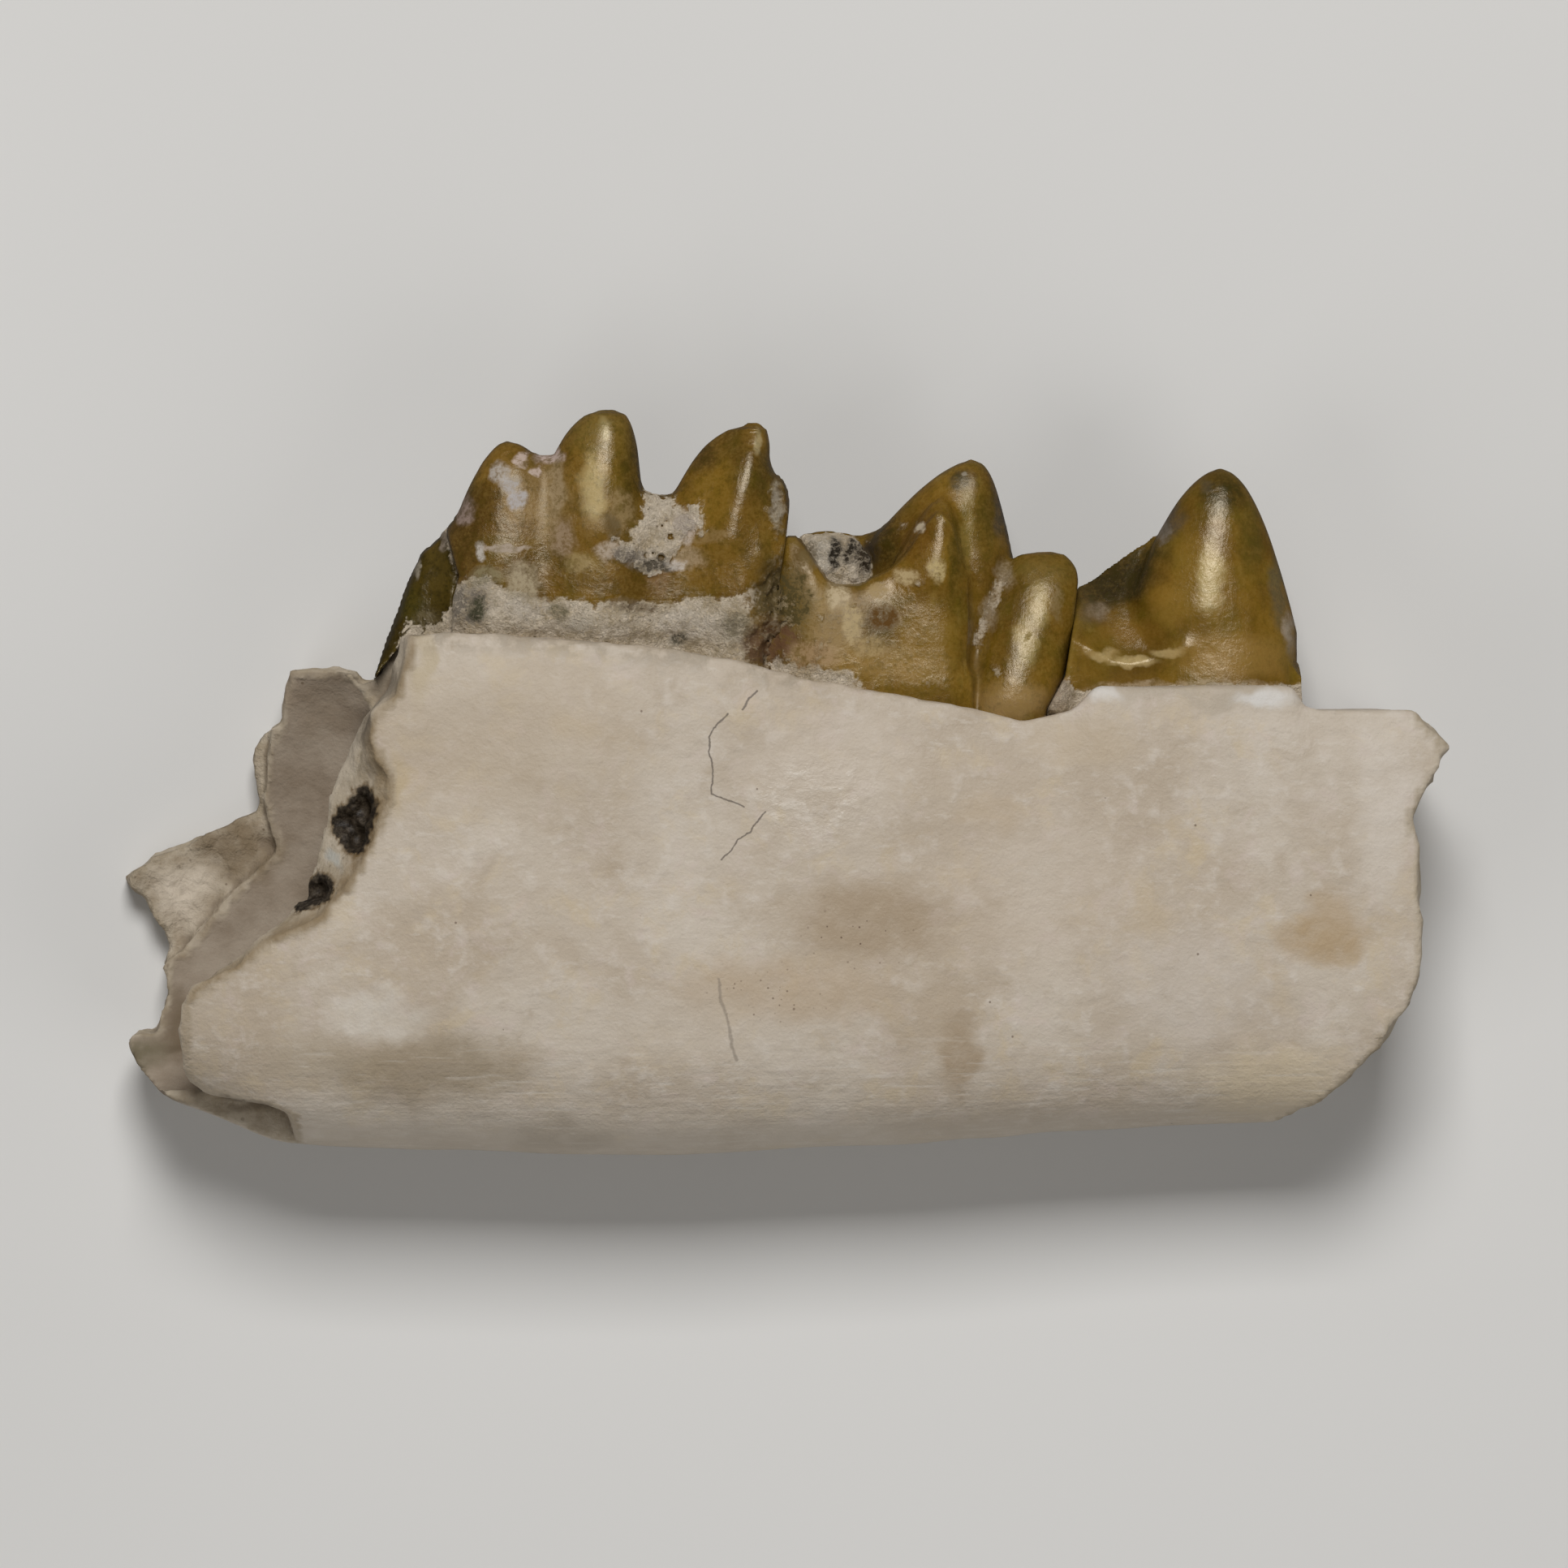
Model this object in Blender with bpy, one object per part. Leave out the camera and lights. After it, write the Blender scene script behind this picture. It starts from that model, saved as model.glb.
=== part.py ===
"""Fossil fragment of a small hoofed animal's lower jaw, lying on its cheek side.

+X runs towards the front of the jaw, +Y towards the tips of the teeth and +Z is up,
out of the tongue side that faces the viewer. The shapes below are in millimetres and
each finished piece is scaled to metres.
"""
import math

import bmesh
import bpy
import numpy as np
from mathutils import Matrix, Vector

MM = 0.001
GAP = 0.05              # air between a tooth and its socket, and between two teeth
JAW_MID_Z = 2.9         # height of the tooth row's middle above the floor
CHEEK_BELLY = 3.15      # the cheek side bulges to just past the floor and is cut flat
SHARP_EDGE = math.radians(35.0)

# Places beyond the fragment on every side, for cutting outlines that take all that is past a line.
FAR_LEFT = -17.0
FAR_RIGHT = 17.0
FAR_SIDE = 12.0
BELOW_ALL = -3.0
ABOVE_ALL = 9.0

# Lower and upper edge of the bone seen from the tongue side: (x, y).
LOWER_EDGE = [(-15.0, -5.6), (-14.1, -6.25), (-13.5, -6.85), (-12.6, -7.18), (-11.7, -7.55),
              (-11.0, -7.82), (-8.2, -7.94), (-4.7, -8.06), (-2.0, -8.08), (2.4, -7.9),
              (6.0, -7.58), (9.5, -7.44), (15.0, -7.28)]
UPPER_EDGE = [(-15.0, 3.2), (-8.0, 3.23), (-6.1, 3.24),
              (-4.7, 3.12), (-2.9, 2.96), (-1.1, 2.7), (0.7, 2.25), (2.4, 1.98), (4.2, 1.66),
              (5.2, 1.4), (6.3, 1.62), (6.8, 2.14), (11.05, 2.16), (11.3, 1.78), (11.6, 1.62),
              (15.0, 1.66)]
# Where the bone's cross-sections are taken along the jaw.
BONE_STATIONS = [-15.0, -14.3, -13.6, -12.8, -12.0, -11.2, -10.4, -9.6, -8.8, -8.0, -7.1, -6.1,
                 -5.2, -4.2, -3.1, -2.0, -1.0, 0.0, 1.0, 2.0, 3.0, 4.0, 4.8, 5.5, 6.3, 6.8, 7.8,
                 8.8, 9.8, 10.6, 11.05, 11.3, 11.6, 12.6, 13.6, 15.0]
# Half thickness of the tongue side along the jaw, and the shape of each side from
# the lower edge (0) to the upper edge (1) as a share of that side's half thickness.
TONGUE_HALF = [(-15.0, 2.6), (-9.0, 2.78), (-4.0, 2.75), (2.0, 2.5), (8.0, 2.2), (15.0, 1.95)]
TONGUE_SHAPE = [(0.0, 0.0), (0.012, 0.27), (0.04, 0.50), (0.09, 0.72), (0.17, 0.89),
                (0.30, 0.98), (0.45, 1.0), (0.62, 0.98), (0.78, 0.97), (0.92, 0.97), (0.98, 0.93),
                (1.0, 0.86)]
CHEEK_SHAPE = [(1.0, 0.70), (0.97, 0.78), (0.9, 0.85), (0.76, 0.94), (0.6, 1.0), (0.42, 1.0),
               (0.26, 0.95), (0.14, 0.80), (0.06, 0.56), (0.02, 0.32)]
# Gentle swelling and shrinking of the tongue side along the jaw: (height, waves per mm, shift).
SWELLS = [(0.08, 0.55, 0.6), (0.05, 1.3, 0.0)]

# The hind break. The cheek-side wall reaches further back than the tongue-side wall.
CHEEK_WALL_BREAK = [(-7.7, 4.6), (-7.9, 3.5), (-8.35, 3.12), (-8.6, 2.7), (-8.88, 2.27),
                    (-9.18, 2.19), (-9.34, 2.42), (-9.75, 2.51), (-10.77, 2.48), (-10.86, 2.05),
                    (-10.95, 1.38), (-11.39, 1.03), (-11.55, 0.73), (-11.6, 0.19),
                    (-11.43, -0.34), (-11.53, -0.6), (-12.1, -0.9), (-13.16, -1.31),
                    (-13.87, -1.61), (-14.49, -2.07), (-14.13, -2.46), (-13.78, -2.9),
                    (-13.46, -3.61), (-13.55, -3.96), (-13.51, -4.67), (-13.74, -5.43),
                    (-14.08, -5.38), (-14.36, -5.59), (-14.2, -6.1), (-14.0, -9.0)]
CHEEK_WALL_LEVELS = (-1.5, 0.9, 8.0)
CHEEK_WALL_WAVE = 0.25  # how much its lowest, hidden edge wavers
TONGUE_WALL_BREAK = [(-7.99, 4.6), (-7.99, 2.94), (-8.13, 2.0), (-8.73, 1.52), (-9.0, 1.08),
                     (-8.73, 0.37), (-8.35, -0.07), (-8.38, -0.42), (-8.79, -0.89),
                     (-9.25, -1.73), (-9.55, -2.42), (-9.9, -2.89), (-10.4, -2.92),
                     (-11.09, -3.26), (-11.55, -3.72), (-12.24, -4.18), (-12.91, -4.69),
                     (-13.02, -5.26), (-12.97, -5.95), (-12.81, -6.53), (-12.4, -6.87),
                     (-11.74, -7.01), (-11.09, -7.06), (-10.59, -7.29), (-10.4, -9.0)]
# The same break where it meets the canal: the wall's thickness shows as a sloping band.
INNER_WALL_BREAK = [(-8.2, 4.6), (-8.25, 2.94), (-8.5, 2.0), (-8.85, 1.6), (-9.1, 1.1),
                    (-9.25, 0.6), (-9.4, 0.2), (-9.6, -0.2), (-9.8, -0.6),
                    (-10.0, -1.0), (-10.3, -1.5), (-10.6, -2.1), (-10.85, -2.65),
                    (-11.3, -3.2), (-11.75, -3.7), (-12.35, -4.2), (-13.0, -4.7),
                    (-13.1, -5.3), (-13.05, -5.95), (-12.9, -6.4), (-12.45, -6.72),
                    (-11.8, -6.86), (-11.15, -6.92), (-10.7, -7.1), (-10.5, -9.0)]
TONGUE_WALL_LEVELS = (7.0, 5.5, 4.15, 3.35)
# Edge of the thin inner layer on the cheek-side wall, one step above the rough layer.
LAYER_EDGE = [(-11.2, 1.2), (-11.38, -0.3), (-11.1, -1.45), (-11.75, -2.1), (-12.55, -2.9),
              (-13.2, -3.7), (-13.8, -4.2)]
LAYER_LEVELS = (0.85, 8.0)
# The canal through the jaw, and the shallow hollow in the front break:
# (x, middle y, middle z, half height, half width).
CANAL = [(-16.0, -2.2, 3.9, 4.5, 2.65), (-13.0, -2.3, 3.65, 4.4, 2.5), (-11.2, -1.7, 3.4, 4.7, 2.2),
         (-9.6, -1.3, 3.15, 4.2, 1.65), (-8.2, -1.3, 3.0, 2.9, 1.2), (-6.6, -1.3, 2.95, 1.6, 0.8),
         (-5.2, -1.3, 2.9, 0.7, 0.4)]
FRONT_HOLLOW = [(15.5, -3.6, 2.3, 1.5, 0.95), (13.4, -3.6, 2.3, 1.35, 0.85),
                (12.6, -3.6, 2.3, 1.0, 0.6), (12.1, -3.6, 2.3, 0.45, 0.3)]
# Two spongy holes in the wall's broken band: (middle, half sizes).
SPONGY_HOLES = [((-9.15, -0.75, 4.7), (0.32, 0.5, 0.6)), ((-10.2, -2.3, 4.6), (0.42, 0.3, 0.55))]

# The front break on the tongue side, and how far the cheek side stands back from it.
FRONT_BREAK = [(10.9, -9.0), (11.12, -7.42), (11.44, -7.19), (11.97, -6.71), (12.4, -6.2),
               (13.04, -5.56), (13.53, -4.85), (13.74, -4.32), (13.87, -3.26), (13.83, -2.19),
               (13.71, -0.78), (13.78, -0.34), (14.1, 0.11), (14.49, 0.85), (14.19, 1.2),
               (13.83, 1.43), (13.57, 1.7), (13.5, 4.0)]
FRONT_SETBACK = [0.3, 0.35, 0.5, 0.2, 0.45, 0.25, 0.5, 0.3, 0.2, 0.35, 0.15, 0.3, 0.5, 0.75,
                 0.4, 0.35, 0.5, 0.5]
FRONT_LEVELS = (-1.5, 2.6, 4.6, 7.0)
FRONT_WAVE = 0.12       # how much the break's middle wavers

# Where neighbouring teeth touch: (x, y).
FRAGMENT_LINE = [(-7.2, 9.5), (-7.3, 5.5), (-7.0, 4.5), (-7.14, 4.0), (-7.2, 0.0)]
PREMOLAR_LINE = [(0.35, 9.5), (0.2, 6.4), (0.1, 5.45), (-0.3, 4.6), (-0.6, 4.1), (-0.62, 0.0)]
LOBE_LINE = [(6.5, 9.5), (6.47, 4.4), (6.3, 2.9), (6.1, 2.2), (6.0, 0.0)]

# Shapes of the teeth. Levels are the height of the crown's base and of the root stub's foot.
# A crest is a list of (x, y of its top, z). A cusp is its tip, then its left, right, tongue and
# cheek flanks as (reach at the base, power of the flank's curve, widest).
CUSP_POINTS = 14                                            # points round a cusp
CUSP_RINGS = (1.0, 0.75, 0.53, 0.36, 0.22, 0.11, 0.04, 0.008)   # 1 at the base, 0 at the tip
CREST_RINGS = (1.0, 0.7, 0.42, 0.2, 0.07)
CREST_CURVE = 0.45
NECK = 0.9                                                  # a stub's width against its crown's

MOLAR_LEVELS = (3.0, 2.1)
MOLAR_TONGUE_CREST = [(-7.7, 4.7, 3.3), (-7.3, 5.55, 3.4), (-7.0, 5.95, 3.5), (-6.6, 6.5, 3.6),
                      (-6.2, 7.05, 3.7), (-5.7, 7.25, 3.7), (-5.3, 7.14, 3.6),
                      (-4.9, 7.12, 3.55), (-4.5, 7.35, 3.65), (-3.9, 7.5, 3.75),
                      (-3.35, 7.1, 3.7), (-3.1, 6.4, 3.65), (-2.75, 6.26, 3.6), (-2.4, 6.26, 3.6),
                      (-2.1, 6.5, 3.6), (-1.7, 6.95, 3.6), (-1.1, 7.3, 3.7), (-0.5, 7.3, 3.7),
                      (-0.2, 6.75, 3.6), (0.08, 6.55, 3.5), (0.3, 5.6, 3.4)]
MOLAR_CHEEK_CREST = [(-7.6, 4.8, 2.6), (-7.1, 5.6, 2.1), (-6.4, 6.5, 1.95), (-5.7, 6.6, 1.95),
                     (-5.1, 6.0, 2.3), (-4.6, 5.9, 2.6), (-4.2, 6.6, 2.1), (-3.6, 7.0, 1.9),
                     (-2.9, 6.2, 2.2), (-2.4, 5.8, 2.6), (-1.9, 6.6, 2.2), (-1.2, 7.1, 2.1),
                     (-0.5, 6.5, 2.3), (0.1, 5.9, 2.7)]
MOLAR_CREST_WIDTHS = ((1.12, 1.2), (1.2, 0.9))
# Three cusps of the tongue side, a small bump in front of them and three cheek-side crescents.
MOLAR_CUSPS = [
    ((-5.99, 7.45, 3.75), ((2.0, 0.6, 2.0), (2.1, 0.5, 1.9), (1.3, 0.55, 1.25), (1.3, 0.6, 1.2))),
    ((-3.87, 8.07, 3.8), ((2.2, 0.42, 1.9), (1.05, 0.22, 1.05), (1.3, 0.5, 1.25), (1.3, 0.6, 1.2))),
    ((-0.56, 7.75, 3.75), ((2.7, 0.36, 1.9), (0.62, 0.4, 0.62), (1.3, 0.5, 1.25), (1.3, 0.6, 1.2))),
    ((-0.04, 6.8, 3.3), ((0.5, 0.3, 0.5), (0.24, 0.25, 0.24), (0.75, 0.4, 0.75), (0.6, 0.4, 0.6))),
    ((-5.75, 6.9, 2.15), ((1.5, 0.45, 1.2), (1.6, 0.45, 1.3), (0.9, 0.6, 0.9), (1.35, 0.5, 1.2))),
    ((-3.6, 7.4, 2.1), ((1.4, 0.42, 1.1), (1.1, 0.42, 0.85), (0.9, 0.6, 0.9), (1.35, 0.5, 1.2))),
    ((-1.1, 7.45, 2.3), ((1.5, 0.42, 1.2), (0.85, 0.4, 0.8), (0.9, 0.6, 0.9), (1.5, 0.5, 1.35))),
]
# Hard sediment packed between the middle and the front cusp.
MOLAR_PLUG = ((-2.65, 6.3, 4.0), ((1.4, 0.3, 1.2), (1.3, 0.35, 1.1), (0.95, 0.3, 0.9), (1.2, 0.4, 1.2)))
PLUG_SQUARE = 2.6

REAR_LEVELS = (2.1, 1.0)
REAR_CHEEK_CREST = [(0.2, 5.0, 2.2), (0.45, 5.48, 2.1), (1.0, 5.53, 2.05), (1.7, 5.42, 2.15),
                    (2.1, 5.55, 2.25), (2.6, 5.92, 2.4), (3.1, 6.25, 2.5), (3.6, 6.6, 2.6),
                    (4.1, 6.8, 2.6), (4.6, 6.3, 2.6), (4.9, 5.5, 2.6), (5.1, 4.6, 2.7)]
REAR_TONGUE_RIM = [(-0.7, 4.2, 3.2), (-0.2, 4.9, 3.45), (0.08, 5.4, 3.6), (0.35, 5.38, 3.65),
                   (0.62, 5.0, 3.75), (0.85, 4.62, 3.8), (1.05, 4.36, 3.8), (1.35, 4.3, 3.8),
                   (1.7, 4.34, 3.8), (1.95, 4.48, 3.75), (2.4, 4.72, 3.7), (2.65, 4.95, 3.7),
                   (3.0, 5.5, 3.65), (3.4, 5.95, 3.6), (3.75, 5.6, 3.5), (4.0, 4.6, 3.4)]
REAR_CREST_WIDTHS = ((1.1, 0.75), (0.85, 0.8))
# Main cusp, the lower cusp on its tongue side, and the basin's floor, which is squarer.
REAR_CUSPS = [
    ((4.1, 7.06, 2.6), ((4.2, 0.66, 2.2), (1.2, 0.35, 1.15), (1.5, 0.6, 1.5), (1.2, 0.5, 1.1))),
    ((3.46, 6.15, 3.6), ((1.9, 0.62, 1.6), (0.8, 0.6, 0.85), (1.05, 0.5, 1.0), (0.9, 0.6, 0.9))),
]
REAR_BASIN = ((2.0, 4.2, 2.95), ((2.4, 0.12, 2.4), (3.0, 0.12, 3.0), (1.1, 0.25, 1.1), (1.3, 0.25, 1.3)))
BASIN_SQUARE = 3.2
# The front lobe leans back down the tooth.
REAR_LOBE = ((5.85, 5.05, 3.2), ((1.5, 0.2, 1.15), (1.1, 0.25, 0.95), (1.25, 0.45, 1.2), (1.3, 0.4, 1.2)))
LOBE_LEVELS = (1.5, 1.0)
LOBE_LEAN = (-0.85, 0.15)

FRONT_TOOTH_LEVELS = (2.3, 1.1)
FRONT_CREST = [(5.8, 3.6, 2.8), (6.4, 4.3, 2.8), (6.7, 4.42, 2.75), (7.0, 4.64, 2.7),
               (7.4, 4.92, 2.7), (7.8, 5.2, 2.7), (8.1, 5.44, 2.7), (8.35, 5.62, 2.75),
               (8.8, 5.95, 2.8), (9.5, 6.3, 2.9), (10.2, 5.7, 2.9), (10.6, 4.9, 2.9),
               (11.0, 3.9, 2.9), (11.17, 3.4, 2.9)]
FRONT_CREST_WIDTH = (1.15, 1.0)
FRONT_CUSP = ((9.55, 6.87, 2.9), ((2.6, 0.56, 2.0), (1.9, 0.5, 1.68), (1.45, 0.5, 1.4), (1.25, 0.5, 1.2)))

SPLINTER_LEVELS = (2.2, 1.2)
SPLINTER_CREST = [(-8.86, 2.4, 2.6), (-8.7, 2.95, 2.6), (-8.45, 3.6, 2.65), (-8.2, 4.3, 2.7),
                  (-8.0, 4.72, 2.7), (-7.85, 5.04, 2.7), (-7.6, 5.22, 2.7), (-7.42, 5.4, 2.75),
                  (-7.3, 5.65, 2.8), (-7.0, 6.0, 2.9)]
SPLINTER_WIDTH = (1.35, 1.25)
# The splinter's slanting lower end: (x, y, how many gaps its socket reaches lower).
SPLINTER_BED = [(-9.6, 1.4, 1.3), (-8.88, 2.28, 1.3), (-8.15, 3.28, 1.3), (-6.0, 3.28, 1.0),
                (-6.0, -1.0, 0.0), (-9.6, -1.0, 0.0)]


def along(table, x):
    """Value of a table of (x, value) pairs at x."""
    return float(np.interp(x, [p[0] for p in table], [p[1] for p in table]))


def loft(name, rings):
    """Closed solid through rings that have the same number of points each."""
    bm = bmesh.new()
    rows = [[bm.verts.new(p) for p in ring] for ring in rings]
    count = len(rows[0])
    for low, high in zip(rows, rows[1:]):
        for i in range(count):
            j = (i + 1) % count
            bm.faces.new((low[i], low[j], high[j], high[i]))
    bm.faces.new(list(reversed(rows[0])))
    bm.faces.new(rows[-1])
    bmesh.ops.triangulate(bm, faces=[f for f in bm.faces if len(f.verts) > 4])
    bmesh.ops.recalc_face_normals(bm, faces=bm.faces)
    mesh = bpy.data.meshes.new(name)
    bm.to_mesh(mesh)
    bm.free()
    obj = bpy.data.objects.new(name, mesh)
    bpy.context.scene.collection.objects.link(obj)
    return obj


def combine(obj, other, operation):
    """Apply an exact Boolean with another solid, which is then removed."""
    step = obj.modifiers.new("step", 'BOOLEAN')
    step.operation = operation
    step.solver = 'EXACT'
    step.object = other
    graph = bpy.context.evaluated_depsgraph_get()
    mesh = bpy.data.meshes.new_from_object(obj.evaluated_get(graph))
    obj.modifiers.clear()
    obj.data = mesh
    bpy.data.objects.remove(other)
    return obj


def add(obj, other):
    return combine(obj, other, 'UNION')


def cut(obj, other):
    return combine(obj, other, 'DIFFERENCE')


def beyond(line, far):
    """Outline of everything from a line of (x, y) points to x = far."""
    return line + [(far, line[-1][1]), (far, line[0][1])]


def plate(name, outlines, levels):
    """Solid through outlines in the XY plane, one at each z level."""
    rings = []
    for outline, z in zip(outlines, levels):
        rings.append([(x, y, z) for x, y in outline])
    return loft(name, rings)


def tunnel(name, stations, points):
    """Solid with oval sections across X, used to hollow something out."""
    rings = []
    for x, y, z, half_y, half_z in stations:
        ring = []
        for i in range(points):
            a = 2.0 * math.pi * i / points
            ring.append((x, y + half_y * math.cos(a), z + half_z * math.sin(a)))
        rings.append(ring)
    return loft(name, rings)


def pocket(place, reach):
    """Small rounded solid used to hollow something out."""
    bm = bmesh.new()
    bmesh.ops.create_icosphere(bm, subdivisions=1, radius=1.0)
    for v in bm.verts:
        v.co = Vector([p + r * c for p, r, c in zip(place, reach, v.co)])
    mesh = bpy.data.meshes.new("pocket")
    bm.to_mesh(mesh)
    bm.free()
    obj = bpy.data.objects.new("pocket", mesh)
    bpy.context.scene.collection.objects.link(obj)
    return obj


def bone_section(x):
    """Cross-section of the whole, unbroken bone."""
    low = along(LOWER_EDGE, x)
    high = along(UPPER_EDGE, x)
    swell = sum(height * math.sin(waves * x + shift) for height, waves, shift in SWELLS)
    ring = []
    for share, k in TONGUE_SHAPE:
        half = along(TONGUE_HALF, x) + swell * math.sin(math.pi * share)
        ring.append((x, low + share * (high - low), JAW_MID_Z + k * half))
    for share, k in CHEEK_SHAPE:
        ring.append((x, low + share * (high - low), JAW_MID_Z - k * CHEEK_BELLY))
    return ring


def hind_break(bone):
    wavy = [(x + CHEEK_WALL_WAVE * math.sin(3.0 * y), y) for x, y in CHEEK_WALL_BREAK]
    lowest = beyond(wavy, FAR_LEFT)
    edge = beyond(CHEEK_WALL_BREAK, FAR_LEFT)
    cut(bone, plate("cheek_break", [lowest, edge, edge], CHEEK_WALL_LEVELS))
    outer = beyond(TONGUE_WALL_BREAK, FAR_LEFT)
    inner = beyond(INNER_WALL_BREAK, FAR_LEFT)
    cut(bone, plate("tongue_break", [outer, outer, inner, inner], TONGUE_WALL_LEVELS))
    cut(bone, tunnel("canal", CANAL, 20))
    for place, reach in SPONGY_HOLES:
        cut(bone, pocket(place, reach))
    layer = beyond(LAYER_EDGE, FAR_LEFT)
    cut(bone, plate("layer", [layer, layer], LAYER_LEVELS))


def front_break(bone):
    set_back = [(x - s, y) for (x, y), s in zip(FRONT_BREAK, FRONT_SETBACK)]
    between = [(0.5 * (a[0] + b[0]) - FRONT_WAVE * math.sin(2.0 * a[1]), a[1])
               for a, b in zip(FRONT_BREAK, set_back)]
    outlines = [beyond(line, FAR_RIGHT) for line in (set_back, between, FRONT_BREAK, FRONT_BREAK)]
    cut(bone, plate("front_break", outlines, FRONT_LEVELS))
    cut(bone, tunnel("front_hollow", FRONT_HOLLOW, 12))


def flat_belly(bone):
    """Cut the cheek side flat where it rests on the floor."""
    floor = [(FAR_LEFT, -FAR_SIDE), (FAR_RIGHT, -FAR_SIDE), (FAR_RIGHT, FAR_SIDE), (FAR_LEFT, FAR_SIDE)]
    cut(bone, plate("floor", [floor, floor], (BELOW_ALL - 1.0, 0.0)))


def half_width(side, rest):
    """Half width of one side of a cusp; rest is 1 at its base and 0 at its tip."""
    reach, power, widest = side
    return min(widest, reach * rest ** power)


def cusp(shape, levels, grow, lean=(0.0, 0.0), square=2.3):
    """One rounded cusp on a root stub; lean shifts its base sideways, grow fattens it all."""
    (x, y, z), (left, right, tongue, cheek) = shape
    base, foot = levels
    rows = [(1.0, foot - grow, NECK)]
    rows += [(rest, y - rest * (y - base) + grow, 1.0) for rest in CUSP_RINGS]
    rings = []
    for rest, level, neck in rows:
        ring = []
        for i in range(CUSP_POINTS):
            a = 2.0 * math.pi * i / CUSP_POINTS
            c, s = math.cos(a), math.sin(a)
            wide = half_width(right if c > 0 else left, rest) * neck + grow
            thick = half_width(tongue if s > 0 else cheek, rest) * neck + grow
            px = x + lean[0] * rest + math.copysign(abs(c) ** (2.0 / square), c) * wide
            pz = z + lean[1] * rest + math.copysign(abs(s) ** (2.0 / square), s) * thick
            ring.append((px, level, pz))
        rings.append(ring)
    return loft("cusp", rings)


def ridge(crest, levels, widths, grow):
    """A crest along the jaw, its widths towards the tongue and the cheek at its base."""
    base, foot = levels
    tongue, cheek = widths
    rings = []
    for x, top, z in crest:
        flank = [(foot - grow, NECK)]
        flank += [(top - rest * (top - base) + grow, rest ** CREST_CURVE) for rest in CREST_RINGS]
        ring = [(x, level, z + k * tongue + grow) for level, k in flank]
        ring += [(x, top + grow, z + 0.1 * tongue)]
        ring += [(x, level, z - k * cheek - grow) for level, k in reversed(flank)]
        rings.append(ring)
    return loft("ridge", rings)


def gather(name, parts):
    tooth = parts[0]
    for part in parts[1:]:
        add(tooth, part)
    tooth.name = name
    return tooth


def trim(tooth, line, keep_right, grow):
    """Cut a tooth along a line of (x, y) points, half a gap short of its neighbour."""
    way = 1.0 if keep_right else -1.0
    edge = [(x + way * (0.5 * GAP - grow), y) for x, y in line]
    outline = beyond(edge, FAR_LEFT if keep_right else FAR_RIGHT)
    return cut(tooth, plate("trim", [outline, outline], (BELOW_ALL, ABOVE_ALL)))


def three_cusped_molar(grow=0.0):
    crests = zip((MOLAR_TONGUE_CREST, MOLAR_CHEEK_CREST), MOLAR_CREST_WIDTHS)
    parts = [ridge(crest, MOLAR_LEVELS, widths, grow) for crest, widths in crests]
    parts += [cusp(shape, MOLAR_LEVELS, grow) for shape in MOLAR_CUSPS]
    parts.append(cusp(MOLAR_PLUG, MOLAR_LEVELS, grow, square=PLUG_SQUARE))
    tooth = gather("three_cusped_molar", parts)
    trim(tooth, FRAGMENT_LINE, True, grow)
    if not grow:
        trim(tooth, PREMOLAR_LINE, False, grow)
    return tooth


def rear_premolar(grow=0.0):
    crests = zip((REAR_CHEEK_CREST, REAR_TONGUE_RIM), REAR_CREST_WIDTHS)
    parts = [ridge(crest, REAR_LEVELS, widths, grow) for crest, widths in crests]
    parts += [cusp(shape, REAR_LEVELS, grow) for shape in REAR_CUSPS]
    parts.append(cusp(REAR_BASIN, REAR_LEVELS, grow, square=BASIN_SQUARE))
    parts.append(cusp(REAR_LOBE, LOBE_LEVELS, grow, lean=LOBE_LEAN))
    tooth = gather("rear_premolar", parts)
    trim(tooth, PREMOLAR_LINE, True, grow)
    return trim(tooth, LOBE_LINE, False, grow)


def front_premolar(grow=0.0):
    parts = [ridge(FRONT_CREST, FRONT_TOOTH_LEVELS, FRONT_CREST_WIDTH, grow),
             cusp(FRONT_CUSP, FRONT_TOOTH_LEVELS, grow)]
    tooth = gather("front_premolar", parts)
    return trim(tooth, LOBE_LINE, True, grow)


def broken_rear_molar(grow=0.0):
    tooth = ridge(SPLINTER_CREST, SPLINTER_LEVELS, SPLINTER_WIDTH, grow)
    tooth.name = "broken_rear_molar"
    bed = [(x, y - gaps * grow) for x, y, gaps in SPLINTER_BED]
    cut(tooth, plate("bed", [bed, bed], (BELOW_ALL, ABOVE_ALL)))
    return trim(tooth, FRAGMENT_LINE, False, grow)


def jaw_bone():
    bone = loft("jaw_bone", [bone_section(x) for x in BONE_STATIONS])
    hind_break(bone)
    front_break(bone)
    for tooth in (three_cusped_molar, rear_premolar, front_premolar, broken_rear_molar):
        cut(bone, tooth(GAP))
    flat_belly(bone)
    return bone


def finish(obj, colour, roughness):
    """Scale a piece to metres and give it a material of its own."""
    bm = bmesh.new()
    bm.from_mesh(obj.data)
    bmesh.ops.triangulate(bm, faces=bm.faces)
    bmesh.ops.recalc_face_normals(bm, faces=bm.faces)
    bm.to_mesh(obj.data)
    bm.free()
    obj.data.transform(Matrix.Scale(MM, 4))
    obj.data.shade_smooth()
    obj.data.set_sharp_from_angle(angle=SHARP_EDGE)
    mat = bpy.data.materials.new(obj.name)
    mat.use_nodes = True
    shader = mat.node_tree.nodes["Principled BSDF"]
    shader.inputs["Base Color"].default_value = (*colour, 1.0)
    shader.inputs["Roughness"].default_value = roughness
    shader.inputs["Metallic"].default_value = 0.0
    obj.data.materials.clear()
    obj.data.materials.append(mat)


for old in list(bpy.data.objects):
    bpy.data.objects.remove(old)

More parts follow.
